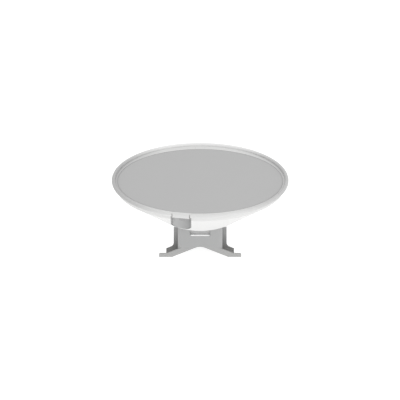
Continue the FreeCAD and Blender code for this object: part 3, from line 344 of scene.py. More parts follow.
def seating_pattern():
    """Copies of one piece on given seats, each turned by its own angle plus a seeded random one."""
    tree = Pattern("copies_on_seats", piece="Object", seed="Int", play="Float")
    facing = tree.node("GeometryNodeInputNamedAttribute", {"data_type": "FLOAT_VECTOR"}, {"Name": "facing"})
    turn = tree.node("GeometryNodeInputNamedAttribute", {"data_type": "FLOAT"}, {"Name": "turn"})
    upright = tree.node("FunctionNodeAlignRotationToVector", {"axis": "Z"}, {"Vector": facing})
    loose = tree.node("FunctionNodeRandomValue", {"data_type": "FLOAT"},
                      {"Min": 0.0, "Max": tree.given["play"], "Seed": tree.given["seed"]}, "Value")
    spun = tree.node("FunctionNodeRotateRotation", {"rotation_space": "LOCAL"}, {
        "Rotation": upright, "Rotate By": tree.node("FunctionNodeAxisAngleToRotation", None, {
            "Axis": (0, 0, 1), "Angle": turn + loose})})
    shape = tree.node("GeometryNodeObjectInfo", None, {"Object": tree.given["piece"]}, "Geometry")
    copies = tree.node("GeometryNodeInstanceOnPoints", None, {
        "Points": tree.given["Geometry"], "Instance": shape, "Rotation": spun})
    return tree.end(copies)


on_seats = seating_pattern()


def fasten(name, mesh, body, slot, material, places, replaced=(), seed=1, play=6.28):
    """Copies of one mesh on (place, facing) or (place, facing, turn) seats."""
    master = bpy.data.objects.new(name + "_master", mesh)
    spots = seats(name, [(*place, 0.0)[:3] for place in places])
    piece = on_seats.grow(name, body, slot, replaced, spots, piece=master, seed=seed, play=play, material=material)
    bpy.data.objects.remove(master)
    return piece


def screw_mesh(head, height, shank, length, drive="cross", domed=True):
    """A screw standing on its head's underside: head up, shank down, with a recessed drive."""
    recess, deep = head * (0.62 if drive == "cross" else 0.52), height * 0.6
    top = height * (0.78 if domed else 0.94)
    return round_and_round("screw", [
        (0, -length), (shank * 0.7, -length), (shank, -length + shank * 0.4), (shank, 0), (head, 0),
        (head, height * (0.45 if domed else 0.85)), (head * 0.93, top), (recess * 1.12, height, "round"),
        (recess, height, drive), (recess * 0.92, height - deep, drive), (0, height - deep)])


# The strip is near white: a painted highlight on the recess's ledge.
keep("recess_lip", lip, "base", material=powder_coat("lip_painted_highlight", (0.93, 0.93, 0.93), 0.02))
access_low, access_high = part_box("access_screws")
access_head, access_head_tall = 0.0028, 0.0015
access_x = access_high.x - access_head
access_face = access_low.y + access_head_tall
fasten("access_plate_screws", screw_mesh(access_head, access_head_tall, 0.0015, 0.0055), "base", "stainless", stainless,
       [((side * access_x, access_face, (access_low.z + access_high.z) / 2), (0, -1, 0)) for side in (-1, 1)],
       ["access_screws"])
frame_low, frame_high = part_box("frame_screws")
frame_head, frame_head_tall = 0.004, 0.003
frame_face = frame_high.y - frame_head_tall
fasten("casting_screws", screw_mesh(frame_head, frame_head_tall, 0.002, 0.0145, "hex", False), "base",
       "stainless", stainless, [((side * (frame_high.x - frame_head), frame_face, height), (0, 1, 0))
                                for side in (-1, 1)
                                for height in (frame_low.z + frame_head, frame_high.z - frame_head)],
       ["frame_screws"])
bolts_low, bolts_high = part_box("shell_bolts")
bolt_head, bolt_head_tall = 0.006, 0.005
bolt_x, bolt_seat = bolts_high.x - bolt_head, bolts_high.z - bolt_head_tall
bolt_spots = [(side * bolt_x, y, bolt_seat) for side in (-1, 1)
              for y in (bolts_low.y + bolt_head, bolts_high.y - bolt_head)]
hex_bolt = round_and_round("hex_bolt", [
    (0, -0.0205), (0.0025, -0.0205), (0.003, -0.0198), (0.003, 0), (0.0059, 0), (0.0059, 0.0009), (0.005, 0.0009),
    (0.0056, 0.0009, "hex"), (0.0056, 0.0044, "hex"), (0.0048, 0.0049), (0, 0.0049)], 36)
fasten("bowl_bolts", hex_bolt, "base", "stainless", stainless, [(spot, (0, 0, 1)) for spot in bolt_spots],
       ["shell_bolts"])
hex_nut = round_and_round("hex_nut", [
    (0.0031, 0), (0.0058, 0, "hex"), (0.0058, 0.0042, "hex"), (0.0048, 0.0049), (0.0031, 0.0049), (0.0031, 0)], 36)
nuts_low, nuts_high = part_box("shell_nuts")
fasten("bowl_nuts", hex_nut, "base", "stainless", stainless,
       [((x, y, nuts_high.z if y > 0 else nuts_low.z + bolt_head_tall), (0, 0, -1)) for x, y, z in bolt_spots],
       ["shell_nuts"])
paint(alloy, "top_plate")

# ---- Plugs under the bowl
# Black moulded sockets with gold contact pins, and a breather valve, pushed through the base.
# Their collars seal inside the bowl.
def moulded(name, colour, roughness, grain_scale, grain_depth, mottle=0.05, scuffs=0.1, constants=None, finish=None):
    """Injection-moulded plastic: etched grain, faint flow mottling and a few fine scuffs."""
    skin = finish or Finish(name)
    grain = skin.cells(grain_scale, feature="SMOOTH_F1")
    flow = skin.noise(7, 3.0)
    scuff = skin.noise(1.0, 5.0, skin.stretched((22, 600, 300))).ramp(0.68, 0.74)
    tone = skin.shade(colour, mottle, flow) if isinstance(colour, tuple) else skin.mix(
        flow * mottle, colour, (0.2, 0.2, 0.2))
    return skin.surface(skin.mix(scuff * scuffs, tone, (0.75, 0.75, 0.74)),
                        roughness + grain * 0.18 + flow * 0.08 + scuff * 0.1,
                        height=grain - scuff * 0.3, depth=grain_depth, constants=constants)


black_plastic = moulded("black_plastic", (0.030, 0.031, 0.033), 0.42, 1500, 0.00006, 0.2, 0.15)
brass = metal("brass_pinion", (0.78, 0.58, 0.26), 0.24, (1400, 1400, 200), 0.2)
paint(black_plastic, "power_socket", "data_socket", "breather_valve")


def ring_pattern():
    """Copies of one piece evenly round a circle."""
    tree = Pattern("copies_in_a_ring", piece="Object", count="Int", radius="Float", middle="Vector")
    circle = tree.node("GeometryNodeCurvePrimitiveCircle", None, {
        "Resolution": tree.given["count"], "Radius": tree.given["radius"]})
    points = tree.node("GeometryNodeCurveToPoints", {"mode": "EVALUATED"}, {"Curve": circle})
    moved = tree.node("GeometryNodeSetPosition", None, {"Geometry": points, "Offset": tree.given["middle"]})
    shape = tree.node("GeometryNodeObjectInfo", None, {"Object": tree.given["piece"]}, "Geometry")
    copies = tree.node("GeometryNodeInstanceOnPoints", None, {"Points": moved, "Instance": shape})
    return tree.end(copies)


in_a_ring = ring_pattern()


def circle_of(name, mesh, body, slot, material, count, radius, middle, replaced=()):
    master = bpy.data.objects.new(name + "_master", mesh)
    piece = in_a_ring.grow(name, body, slot, replaced, None, piece=master, count=count, radius=radius,
                           middle=Vector(middle), material=material)
    bpy.data.objects.remove(master)
    return piece


pin = round_and_round("pin", [(0, -0.008), (0.0004, -0.0079), (0.0007, -0.0074), (0.0007, 0.0), (0, 0.0)], 12)
for name, count, spread in (("power_socket", 3, 0.0035), ("data_socket", 8, 0.0036)):
    low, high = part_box(name)
    circle_of(name + "_pins", pin, "base", "brass_pinion", brass, count, spread,
              ((low.x + high.x) / 2, (low.y + high.y) / 2, low.z + 0.0138))

# ---- Bowl and its finger pocket
# One moulded white shell with a satin gelcoat-like skin; the pocket for the latch is a separate grey scoop,
# its grey painted darker from left to right as painted shade. Thin ribs stiffen the cone on the inside.
shell_white = moulded("shell_white", (0.765, 0.765, 0.76), 0.5, 900, 0.00005, 0.02, 0.03,
                      {"Specular IOR Level": 0.2})
scoop = Finish("pocket_grey")
scoop_low, scoop_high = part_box("latch_pocket")
# Painted shade: the scoop's grey runs from lighter at its left to darker at its right.
scoop_painted_shade = scoop.axes()[0].ramp(scoop_low.x, scoop_high.x)
pocket_grey = moulded("pocket_grey", scoop.mix(scoop_painted_shade, (0.395, 0.397, 0.397), (0.285, 0.287, 0.287)), 0.55, 1300,
                      0.0001, finish=scoop)
paint(shell_white, "lower_shell")
paint(pocket_grey, "latch_pocket")

rib_mesh = bpy.data.meshes.new("rib")
cone_slope = math.radians(34.4)
rib_start, rib_end, cone_foot, cone_rise = 0.150, 0.236, 0.144, 0.1528
wall = [(r, cone_rise + (r - cone_foot) * math.tan(cone_slope)) for r in (rib_start, rib_end)]
(start_r, start_z), (end_r, end_z) = wall
sunk, tall, thick = 0.0010, 0.006, 0.0022
outline = [(start_r, start_z - sunk), (end_r, end_z - sunk), (end_r - 0.004, end_z + tall),
           (start_r + 0.004, start_z + tall)]
rib_mesh.from_pydata([(r, side * thick / 2, z) for side in (-1, 1) for r, z in outline], [],
                     [(0, 1, 2, 3), (7, 6, 5, 4), (0, 4, 5, 1), (1, 5, 6, 2), (2, 6, 7, 3), (3, 7, 4, 0)])
rib_step, pocket_start, pocket_end = 15, 235, 275
rib_turns = [math.radians(angle) for angle in range(0, 360, rib_step) if not pocket_start < angle < pocket_end]
fasten("bowl_ribs", rib_mesh, "base", "shell_white", shell_white,
       [((0, 0, 0), (0, 0, 1), turn) for turn in rib_turns], play=0.0)

# ---- Chassis
# A turned aluminium plate on four standoffs carries the drive and the boards.
paint(alloy, "chassis_plate", "chassis_standoffs", "board_spacers")
standoff_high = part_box("chassis_screws")[1]
chassis_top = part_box("chassis_plate")[1].z
small_head, small_head_tall = 0.003, 0.002
small_screw = screw_mesh(small_head, small_head_tall, 0.0015, 0.010)
standoff_x, standoff_y = standoff_high.x - small_head, standoff_high.y - small_head
fasten("chassis_plate_screws", small_screw, "base", "stainless", stainless,
       [((sx * standoff_x, sy * standoff_y, chassis_top), (0, 0, 1)) for sx in (-1, 1) for sy in (-1, 1)],
       ["chassis_screws"])

# ---- Bearings and spindle
# Two ball bearings in an alloy housing hold the hollow steel spindle; a brass rotary joint feeds
# the array through it.
bearing_steel = metal("bearing_steel", (0.60, 0.60, 0.61), 0.14, (300, 300, 3000), 0.15, 0.00002)
paint(alloy, "bearing_housing")
paint(bearing_steel, "spindle", "motor_shaft")
paint(brass, "rotary_joint")
flange_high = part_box("housing_screws")[1]
flange_reach = (flange_high.x - small_head) * math.sqrt(2)
fasten("housing_flange_screws", screw_mesh(small_head, small_head_tall, 0.0015, 0.008), "base", "stainless", stainless,
       [((flange_reach * math.cos(turn), flange_reach * math.sin(turn), flange_high.z - small_head_tall), (0, 0, 1))
        for turn in (math.pi / 4, math.pi * 3 / 4, math.pi * 5 / 4, math.pi * 7 / 4)], ["housing_screws"])
bearing_bore, ball_radius, ball_count, race_lip, race_half = 0.01205, 0.0026, 14, 0.0022, 0.0014
for name in ("lower_bearing", "upper_bearing"):
    low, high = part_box(name)
    middle = (low.z + high.z) / 2
    half, outer, inner = (high.z - low.z) / 2, high.x, bearing_bore
    groove = (outer + inner) / 2
    races = []
    for edge, lip in ((outer, groove + race_lip), (inner, groove - race_lip)):
        races.append(round_and_round("race", [
            (edge, -half), (edge, half), (lip, half), (lip, race_half), ((lip * 2 + edge) / 3, 0.0), (lip, -race_half),
            (lip, -half), (edge, -half)], 64))
    joined = bmesh.new()
    for race in races:
        joined.from_mesh(race)
    bmesh.ops.translate(joined, verts=joined.verts, vec=(0, 0, middle))
    bmesh.ops.recalc_face_normals(joined, faces=joined.faces)
    both = bpy.data.meshes.new(name + "_rings")
    joined.to_mesh(both)
    joined.free()
    rings = keep(name + "_rings", both, "base", material=bearing_steel)
    ball = round_and_round("ball", [(ball_radius * math.sin(step * math.pi / 10),
                                     -ball_radius * math.cos(step * math.pi / 10)) for step in range(11)], 20)
    balls = circle_of(name + "_balls", ball, "base", "bearing_steel", bearing_steel, ball_count, groove,
                      (0, 0, middle))
    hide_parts(name)
    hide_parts(name)

# ---- Gears and motor
# A natural acetal gear on the spindle runs against a brass pinion on a stepper motor; a magnet in
# the gear passes a sensor once a turn.
acetal = moulded("acetal", (0.82, 0.80, 0.72), 0.36, 500, 0.00003, 0.04, 0.05, {"Subsurface Weight": 0.15,
                 "Subsurface Scale": 0.002})
can_steel = metal("can_steel", (0.74, 0.74, 0.72), 0.28, (500, 3000, 500), 0.15)
paint(acetal, "driven_gear")
paint(brass, "motor_pinion")
paint(can_steel, "zero_magnet", "shield_can")
paint(black_plastic, "position_sensor")

motor_low, motor_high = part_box("drive_motor")
motor_x, motor_half = (motor_low.x + motor_high.x) / 2, (motor_high.x - motor_low.x) / 2
boss_height = 0.002
case_top = motor_high.z - boss_height


def slab(name, half, corner, low, high):
    """A square plate with cut corners, from height low to high."""
    cut = half - corner
    outline = [(half, -cut), (half, cut), (cut, half), (-cut, half), (-half, cut), (-half, -cut), (-cut, -half),
               (cut, -half)]
    made = bmesh.new()
    rings = [[made.verts.new((x, y, z)) for x, y in outline] for z in (low, high)]
    made.faces.new(rings[0][::-1])
    made.faces.new(rings[1])
    for index in range(8):
        made.faces.new((rings[0][index], rings[0][(index + 1) % 8], rings[1][(index + 1) % 8], rings[1][index]))
    mesh = bpy.data.meshes.new(name)
    made.to_mesh(mesh)
    made.free()
    return mesh


def stack_pattern():
    """Copies of one piece in a straight row."""
    tree = Pattern("copies_in_a_row", piece="Object", count="Int", first="Vector", step="Vector")
    row = tree.node("GeometryNodeMeshLine", {"mode": "OFFSET"}, {
        "Count": tree.given["count"], "Start Location": tree.given["first"], "Offset": tree.given["step"]})
    shape = tree.node("GeometryNodeObjectInfo", None, {"Object": tree.given["piece"]}, "Geometry")
    copies = tree.node("GeometryNodeInstanceOnPoints", None, {"Points": row, "Instance": shape})
    return tree.end(copies)


in_a_row = stack_pattern()


def row_of(name, mesh, body, slot, material, count, first, step, replaced=()):
    master = bpy.data.objects.new(name + "_master", mesh)
    piece = in_a_row.grow(name, body, slot, replaced, None, piece=master, count=count, first=Vector(first),
                          step=Vector(step), material=material)
    bpy.data.objects.remove(master)
    return piece


core_steel = metal("core_steel", (0.33, 0.33, 0.34), 0.4, (400, 400, 5000), 0.3)
cap_deep, sheet_count = 0.009, 22
sheet_step = (case_top - motor_low.z - 2 * cap_deep) / sheet_count
row_of("motor_core", slab("sheet", motor_half - 0.0004, 0.0045, 0, sheet_step * 0.62), "base", "black_plastic",
       core_steel, sheet_count, (motor_x, 0, motor_low.z + cap_deep + sheet_step * 0.19), (0, 0, sheet_step),
       ["drive_motor"])
row_of("motor_filling", slab("filling", motor_half - 0.0012, 0.005, 0, case_top - motor_low.z - 2 * cap_deep + 0.001),
       "base", "black_plastic", core_steel, 1, (motor_x, 0, motor_low.z + cap_deep - 0.0005), (0, 0, 0.1),
       ["drive_motor"])
row_of("motor_caps", slab("cap", motor_half, 0.0035, 0, cap_deep), "base", "black_plastic", black_plastic, 2,
       (motor_x, 0, motor_low.z), (0, 0, case_top - motor_low.z - cap_deep), ["drive_motor"])
boss = round_and_round("boss", [(0.0028, -0.002), (0.011, -0.002), (0.011, boss_height * 0.8),
                                (0.0106, boss_height), (0.0028, boss_height), (0.0028, -0.002)], 48)
fasten("motor_boss", boss, "base", "alloy", alloy, [((motor_x, 0, case_top), (0, 0, 1))], ["drive_motor"])
spread = 0.0155
fasten("motor_case_screws", screw_mesh(0.0026, 0.0016, 0.0014, 0.006), "base", "stainless", stainless,
       [((motor_x + sx * spread, sy * spread, case_top), (0, 0, 1)) for sx in (-1, 1) for sy in (-1, 1)])
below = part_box("motor_screws")[0].z + 0.002
fasten("motor_mounting_screws", screw_mesh(0.0028, 0.002, 0.0015, 0.009), "base", "stainless", stainless,
       [((motor_x + sx * spread, sy * spread, below), (0, 0, -1)) for sx in (-1, 1) for sy in (-1, 1)],
       ["motor_screws"])

# ---- Array
# An alloy trough on a milled bracket, closed by a cream dielectric window and black end caps, and
# screwed under the spindle's hub.
window_cream = moulded("window_cream", (0.80, 0.77, 0.68), 0.4, 700, 0.00004, 0.05, 0.05)
milled = metal("milled_alloy", (0.70, 0.71, 0.72), 0.28, (90, 1800, 1800), 0.22)
paint(milled, "array_housing", "array_bracket")
paint(window_cream, "array_window")
paint(black_plastic, "array_end_caps")
hub_head = 0.0028
hub_reach, hub_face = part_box("array_screws")[1].x - hub_head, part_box("spindle")[1].z - 0.006
fasten("hub_screws", screw_mesh(hub_head, 0.0015, 0.0015, 0.0105), "antenna", "stainless", stainless,
       [((hub_reach * math.cos(turn), hub_reach * math.sin(turn), hub_face), (0, 0, -1))
        for turn in (0, math.pi / 2, math.pi, math.pi * 3 / 2)], ["array_screws"])
array_low, array_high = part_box("array_housing")
rivet = round_and_round("rivet", [
    (0.0016, -0.001), (0.0016, 0.0001), (0.0013, 0.0005), (0.0007, 0.0007), (0, 0.0008)], 16)
rivet_count = 18
rivet_step = (array_high.x - array_low.x - 0.016) / (rivet_count - 1)
for edge, y in (("front", array_low.y + 0.003), ("rear", array_high.y - 0.003)):
    row_of("array_rivets_" + edge, rivet, "antenna", "stainless", stainless, rivet_count,
           (array_low.x + 0.008, y, array_high.z), (rivet_step, 0, 0))
cap_screw = screw_mesh(0.0022, 0.0012, 0.001, 0.003)
fasten("end_cap_screws", cap_screw, "antenna", "stainless", stainless,
       [((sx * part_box("array_end_caps")[1].x, y, z), (sx, 0, 0)) for sx in (-1, 1) for y in (-0.012, 0.010)
        for z in (array_low.z + 0.006, array_high.z - 0.006)])

# ---- Transceiver
# A milled alloy box with a black anodised heat sink on top, eight lid screws and two brass
# connectors whose semi-rigid copper lines run to the processor board.
anodised = moulded("anodised_black", (0.035, 0.035, 0.038), 0.35, 2000, 0.00003, 0.1, 0.1)
paint(milled, "transceiver")
paint(anodised, "heat_sink")
unit_low, unit_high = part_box("transceiver")
fasten("transceiver_screws", screw_mesh(0.0022, 0.0012, 0.001, 0.003, "hex", False), "base", "stainless", stainless,
       [((unit_high.x, y, z), (1, 0, 0)) for y in (-0.038, -0.013, 0.013, 0.038)
        for z in (unit_low.z + 0.005, unit_high.z - 0.005)])
connector = round_and_round("connector", [
    (0, 0), (0.0042, 0, "hex"), (0.0042, 0.002, "hex"), (0.0031, 0.002), (0.0031, 0.0045), (0.0038, 0.0045, "hex"),
    (0.0038, 0.0085, "hex"), (0.0015, 0.009), (0.0015, 0.0105), (0, 0.0105)], 24)
line_x = (-0.060, -0.050)
line_z = (unit_low.z + unit_high.z) / 2
fasten("line_connectors", connector, "base", "brass_pinion", brass,
       [((x, unit_high.y, line_z), (0, 1, 0)) for x in line_x])
copper = metal("copper", (0.78, 0.42, 0.28), 0.25, (900, 900, 900), 0.2)


def tube_mesh(name, radius, path, sides=12):
    """A round wire through the points of a path."""
    made = bmesh.new()
    rings = []
    side = Vector((0, 0, 1))
    for index, point in enumerate(path):
        ahead = (path[min(index + 1, len(path) - 1)] - path[max(index - 1, 0)]).normalized()
        across = ahead.cross(side).normalized() if abs(ahead.z) < 0.99 else Vector((1, 0, 0))
        up = across.cross(ahead)
        rings.append([made.verts.new(point + radius * (across * math.cos(a) + up * math.sin(a)))
                      for a in (2 * math.pi * k / sides for k in range(sides))])
        side = up
    for low, high in zip(rings, rings[1:]):
        for k in range(sides):
            made.faces.new((low[k], low[(k + 1) % sides], high[(k + 1) % sides], high[k]))
    made.faces.new(rings[0][::-1])
    made.faces.new(rings[-1])
    bmesh.ops.recalc_face_normals(made, faces=made.faces)
    mesh = bpy.data.meshes.new(name)
    made.to_mesh(mesh)
    made.free()
    return mesh


board_low, board_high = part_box("processor_board")
for number, x in enumerate(line_x):
    first = Vector((x, unit_high.y + 0.010, line_z))
    last = Vector((board_low.x + 0.012, board_low.y + 0.012 + 0.008 * number, board_high.z + 0.002))
    bend = Vector((x, last.y, line_z))
    over = Vector((last.x - 0.006, last.y, line_z))
    path = []
    for step in range(25):
        t = step / 24
        path.append(first * (1 - t) ** 3 + bend * 3 * t * (1 - t) ** 2 + over * 3 * t ** 2 * (1 - t) + last * t ** 3)
    keep("copper_line_%d" % number, tube_mesh("line", 0.0011, path), "base", material=copper)

# ---- Boards
# Green fibreglass boards on alloy spacers: a shielded processor at the rear and the power supply
# with its coil and three capacitors at the front.
def board_finish():
    """Solder mask over copper tracks, with tinned pads and vias."""
    mask = Finish("board_green")
    grid = mask.node("ShaderNodeTexBrick", None, {"Vector": mask.place, "Scale": 110, "Mortar Size": 0.06,
                     "Color1": (0, 0, 0, 1), "Color2": (0.35, 0.35, 0.35, 1), "Mortar": (1, 1, 1, 1)}, "Fac")
    zones = mask.noise(60, 1.0).ramp(0.45, 0.5)
    tracks = grid * zones
    vias = mask.cells(260).under(0.16) * mask.noise(85, 1.0).over(0.52)
    copper_under = mask.mix(tracks, (0.012, 0.10, 0.040), (0.05, 0.24, 0.10))
    return mask.surface(mask.mix(vias, copper_under, (0.75, 0.73, 0.66)), 0.35 - vias * 0.1,
                        vias, height=tracks * 0.5 + vias, depth=0.00008)


board_green = board_finish()
paint(board_green, "processor_board", "power_board")


def block(name, size, bevel=0.0002):
    """A small box standing on its base, with bevelled edges."""
    made = bmesh.new()
    bmesh.ops.create_cube(made, size=1.0)
    for vert in made.verts:
        vert.co = Vector((vert.co.x * size[0], vert.co.y * size[1], (vert.co.z + 0.5) * size[2]))
    bmesh.ops.bevel(made, geom=list(made.edges), offset=bevel, segments=2, affect="EDGES", profile=0.5)
    mesh = bpy.data.meshes.new(name)
    made.to_mesh(mesh)
    made.free()
    return mesh


def scatter_pattern():
    """Small parts on a grid over a board, some picked at random and turned by quarter turns, leaving the middle of the
    board free.
    """
    tree = Pattern("small_parts", piece="Object", across="Float", along="Float", middle="Vector", keep_out="Vector",
                   seed="Int", share="Float")
    grid = tree.node("GeometryNodeMeshGrid", None, {"Size X": tree.given["across"], "Size Y": tree.given["along"],
                     "Vertices X": 19, "Vertices Y": 11})
    position = tree.node("GeometryNodeInputPosition")
    parts = tree.tree.nodes.new("ShaderNodeSeparateXYZ")
    tree.tree.links.new(position.socket, parts.inputs[0])
    room = tree.tree.nodes.new("ShaderNodeSeparateXYZ")
    tree.tree.links.new(tree.given["keep_out"].socket, room.inputs[0])
    outside = []
    for axis in (0, 1):
        reach = tree.node("ShaderNodeMath", {"operation": "ABSOLUTE"}, {0: Value(tree, parts.outputs[axis])})
        outside.append(reach.over(Value(tree, room.outputs[axis])))
    free = (outside[0] + outside[1]).over(0.5)
    chosen = tree.node("FunctionNodeRandomValue", {"data_type": "FLOAT"},
                       {"Min": 0.0, "Max": 1.0, "Seed": tree.given["seed"]}, "Value").under(tree.given["share"])
    placed = tree.node("GeometryNodeSetPosition", None, {"Geometry": grid, "Offset": tree.given["middle"]})
    quarter = tree.node("FunctionNodeRandomValue", {"data_type": "INT"},
                        {4: 0, 5: 1, "Seed": tree.given["seed"]}, 2)
    turn = tree.node("ShaderNodeCombineXYZ", None, {"Z": quarter * (math.pi / 2)})
    shape = tree.node("GeometryNodeObjectInfo", None, {"Object": tree.given["piece"]}, "Geometry")
    copies = tree.node("GeometryNodeInstanceOnPoints", None, {
        "Points": placed, "Selection": (chosen * free).over(0.5), "Instance": shape, "Rotation": turn})
    return tree.end(copies)


small_parts = scatter_pattern()
ceramic = moulded("ceramic_tan", (0.42, 0.32, 0.20), 0.4, 2500, 0.00002)
for name, keep_out, seed in (("processor_board", (0.026, 0.020, 0), 3), ("power_board", (0.035, 0.014, 0), 8)):
    low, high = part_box(name)
    middle = Vector(((low.x + high.x) / 2, (low.y + high.y) / 2, high.z))
    for kind, mesh, finish, share, offset in (
            ("chips", block("chip", (0.0026, 0.0014, 0.0009)), black_plastic, 0.34, 0),
            ("ceramics", block("ceramic", (0.0018, 0.0010, 0.0009)), ceramic, 0.30, 11)):
        master = bpy.data.objects.new(kind, mesh)
        shift = Vector((0.0022, 0.0020, 0)) if offset else Vector((0, 0, 0))
        small_parts.grow("%s_%s" % (name, kind), "base", "black_plastic", (), None, piece=master,
                         across=high.x - low.x - 0.020, along=high.y - low.y - 0.012, middle=middle + shift,
                         keep_out=Vector(keep_out), seed=seed + offset, share=share, material=finish)
        bpy.data.objects.remove(master)
can_low, can_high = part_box("shield_can")
clip = block("clip", (0.0030, 0.0006, 0.0022), 0.0001)
for side, y in (("near", can_low.y - 0.0004), ("far", can_high.y + 0.0004)):
    row_of("can_clips_" + side, clip, "base", "can_steel", can_steel, 6, (can_low.x + 0.0045, y, can_low.z),
           ((can_high.x - can_low.x - 0.009) / 5, 0, 0))
header_low, header_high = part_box("power_board")
header_y = header_low.y + 0.007
fasten("power_header", block("header", (0.022, 0.0075, 0.009), 0.0004), "base", "window_cream", window_cream,
       [((0.0, header_y, header_high.z), (0, 0, 1))], play=0.0)
pad_screw = screw_mesh(0.0028, 0.0018, 0.0014, 0.004)
fasten("board_screws", pad_screw, "base", "stainless", stainless,
       [((sx * 0.043, sy * y, header_high.z), (0, 0, 1)) for sx in (-1, 1) for sy in (-1, 1) for y in (0.061, 0.107)])

coil_low, coil_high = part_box("power_inductor")
coil_middle = (coil_low + coil_high) / 2
turn_out, wire = 0.0042, 0.00075
loop_path = [Vector((turn_out * 0.93 * math.cos(a), 0, turn_out * 1.1 * math.sin(a)))
             for a in (2 * math.pi * k / 24 for k in range(25))]
fasten("coil_winding", tube_mesh("loop", wire, loop_path, 8), "base", "black_plastic", copper,
       [(coil_middle + Vector((0.0070 * math.cos(a), 0.0070 * math.sin(a), 0)), (0, 0, 1), a)
        for a in (2 * math.pi * k / 26 for k in range(26))], ["power_inductor"], play=0.0)
core = round_and_round("core", [(0.0038, -0.0038), (0.0102, -0.0038), (0.0102, 0.0038), (0.0038, 0.0038),
                                (0.0038, -0.0038)], 48)
fasten("coil_core", core, "base", "black_plastic", black_plastic, [(coil_middle, (0, 0, 1))], ["power_inductor"])

cans_low, cans_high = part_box("power_capacitors")
can_radius, can_tall = (cans_high.y - cans_low.y) / 2, cans_high.z - cans_low.z
sleeve = round_and_round("sleeve", [
    (can_radius * 0.9, 0), (can_radius * 0.98, 0.0004), (can_radius, 0.001), (can_radius, 0.0022),
    (can_radius * 0.9, 0.003), (can_radius, 0.0038), (can_radius, can_tall - 0.0008),
    (can_radius * 0.93, can_tall - 0.0002), (can_radius * 0.82, can_tall - 0.0002),
    (can_radius * 0.82, can_tall - 0.0010), (can_radius * 0.70, can_tall - 0.0010), (can_radius * 0.9, 0)], 40)
can_step = (cans_high.x - cans_low.x - 2 * can_radius) / 2
row_of("capacitor_sleeves", sleeve, "base", "can_steel", black_plastic, 3,
       (cans_low.x + can_radius, (cans_low.y + cans_high.y) / 2, cans_low.z), (can_step, 0, 0), ["power_capacitors"])
lid = round_and_round("lid", [(0, 0.001), (can_radius * 0.84, 0.001), (can_radius * 0.84, can_tall - 0.0006),
                              (can_radius * 0.5, can_tall - 0.0006), (can_radius * 0.46, can_tall - 0.0009, "cross"),
                              (0, can_tall - 0.0009)], 32)
row_of("capacitor_lids", lid, "base", "can_steel", can_steel, 3,
       (cans_low.x + can_radius, (cans_low.y + cans_high.y) / 2, cans_low.z), (can_step, 0, 0), ["power_capacitors"])

# ---- Lid
# A moulded grey disc with a fine grain and a thin groove near its edge, held by two halves of
# white edge bead. It is riveted to a stainless hinge at the rear.
face = Finish("lid_grey")
across, along, upward = face.axes()
lid_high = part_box("top_cover")[1]
outer_x, outer_y, groove_width = 0.2855, 0.267, 0.0016
outside = ((across / outer_x) ** 2.0 + (along / outer_y) ** 2.0).under(1.0)
inside = ((across / (outer_x - groove_width)) ** 2.0 + (along / (outer_y - groove_width)) ** 2.0).over(1.0)
# The inside of the groove is painted darker: painted shade.
groove_painted_shade = outside * inside * upward.over(lid_high.z - 0.0045) * upward.under(lid_high.z - 0.0003)
margin = (1 - outside) * upward.over(lid_high.z - 0.0075)
# The band outside the groove takes the bead's pale colour, painted darker towards the left and right sides as painted
# shade.
side_painted_shade = (0 - across).ramp(0.10, dome_radius) * 0.85 + across.ramp(0.10, dome_radius) * 0.6
margin_tone = face.mix(side_painted_shade, (0.70, 0.70, 0.695), (0.44, 0.44, 0.44))
panel_tone = face.mix(groove_painted_shade, (0.458, 0.458, 0.458), (0.40, 0.40, 0.40))
lid_grey = moulded("lid_grey", face.mix(margin, panel_tone, margin_tone), 0.46, 1100, 0.0001, 0.03, 0.04, finish=face)
edge = Finish("bead_white")
bead_x, bead_y, bead_up = edge.axes()
# The bead is painted lighter towards the rear (painted light) and darker towards the left and right sides (painted
# shade); below the bead the colour turns dark grey.
left_painted_shade = (0 - bead_x).ramp(0.10, dome_radius)
right_painted_shade = bead_x.ramp(0.10, dome_radius)
pale = edge.mix(bead_y.ramp(0.05, 0.29), (0.69, 0.69, 0.685), (0.85, 0.85, 0.845))
pale = edge.mix(left_painted_shade * 0.85 + right_painted_shade * 0.64, pale, (0.42, 0.42, 0.42))
edge_colour = edge.mix(bead_up.under(rim_height - 0.0072), pale, (0.36, 0.36, 0.36))
bead_white = moulded("bead_white", edge_colour, 0.45, 1600, 0.00006, 0.03, 0.04, finish=edge)
paint(lid_grey, "top_cover")
paint(bead_white, "cover_trim_front", "cover_trim_rear", "latch_tab")
paint(stainless, "cover_rivets", "base_hinge_leaf", "cover_hinge_leaf", "hinge_pin", "latch_pin", "keeper_bar")
hinge_low, hinge_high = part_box("hinge_screws")
spot_x = 0.042
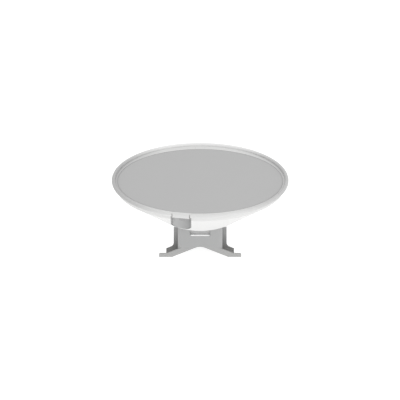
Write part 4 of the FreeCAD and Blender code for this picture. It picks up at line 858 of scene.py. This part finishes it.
hinge_z = (hinge_low.z + hinge_high.z) / 2
hinge_head_y = hinge_high.y - small_head_tall
fasten("hinge_leaf_screws", screw_mesh(small_head, small_head_tall, 0.0015, 0.009), "base", "stainless", stainless,
       [((side * spot_x, hinge_head_y, hinge_z), (0, 1, 0)) for side in (-1, 1)], ["hinge_screws"])

# ---- Latch
# A white finger tab on a steel pin in the gap of the bead; a wound spring at its end presses it
# shut and a hook holds a steel bar in the bowl. The spring lies along the pin.
spring_low, spring_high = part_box("latch_spring")
latch_turn = math.radians(-12.75)
spring_middle = (spring_low + spring_high) / 2
spring_length, spring_radius, spring_wire, turns = 0.0010, 0.0026, 0.0002, 2.5
coil_pattern = Pattern("wound_spring", turns="Float", radius="Float", length="Float", wire="Float", middle="Vector")
helix = coil_pattern.node("GeometryNodeCurveSpiral", None, {
    "Resolution": 24, "Rotations": coil_pattern.given["turns"], "Start Radius": coil_pattern.given["radius"],
    "End Radius": coil_pattern.given["radius"], "Height": coil_pattern.given["length"]})
section = coil_pattern.node("GeometryNodeCurvePrimitiveCircle", None, {
    "Resolution": 10, "Radius": coil_pattern.given["wire"]})
wound = coil_pattern.node("GeometryNodeCurveToMesh", None, {"Curve": helix, "Profile Curve": section,
                                                           "Fill Caps": True})
centred = coil_pattern.node("GeometryNodeTransform", None, {
    "Geometry": wound, "Translation": (0, 0, -spring_length / 2)})
laid = coil_pattern.node("GeometryNodeTransform", None, {
    "Geometry": centred, "Translation": coil_pattern.given["middle"], "Rotation": (0, math.pi / 2, latch_turn)})
coil_pattern.end(laid).grow("latch_coil", "cover", "stainless", ["latch_spring"], turns=turns,
                            radius=spring_radius, length=spring_length, wire=spring_wire, middle=spring_middle,
                            material=stainless)

# ---- Floor and finish
# The floor is plain white and glows like a light table. It is not part of the object.
ground = Finish("floor_white")
floor.data.materials.append(ground.surface(ground.shade((0.3, 0.3, 0.3), 0.01, ground.noise(3)), 0.9, constants={
    "Emission Color": (1, 1, 1, 1), "Emission Strength": 0.92}))
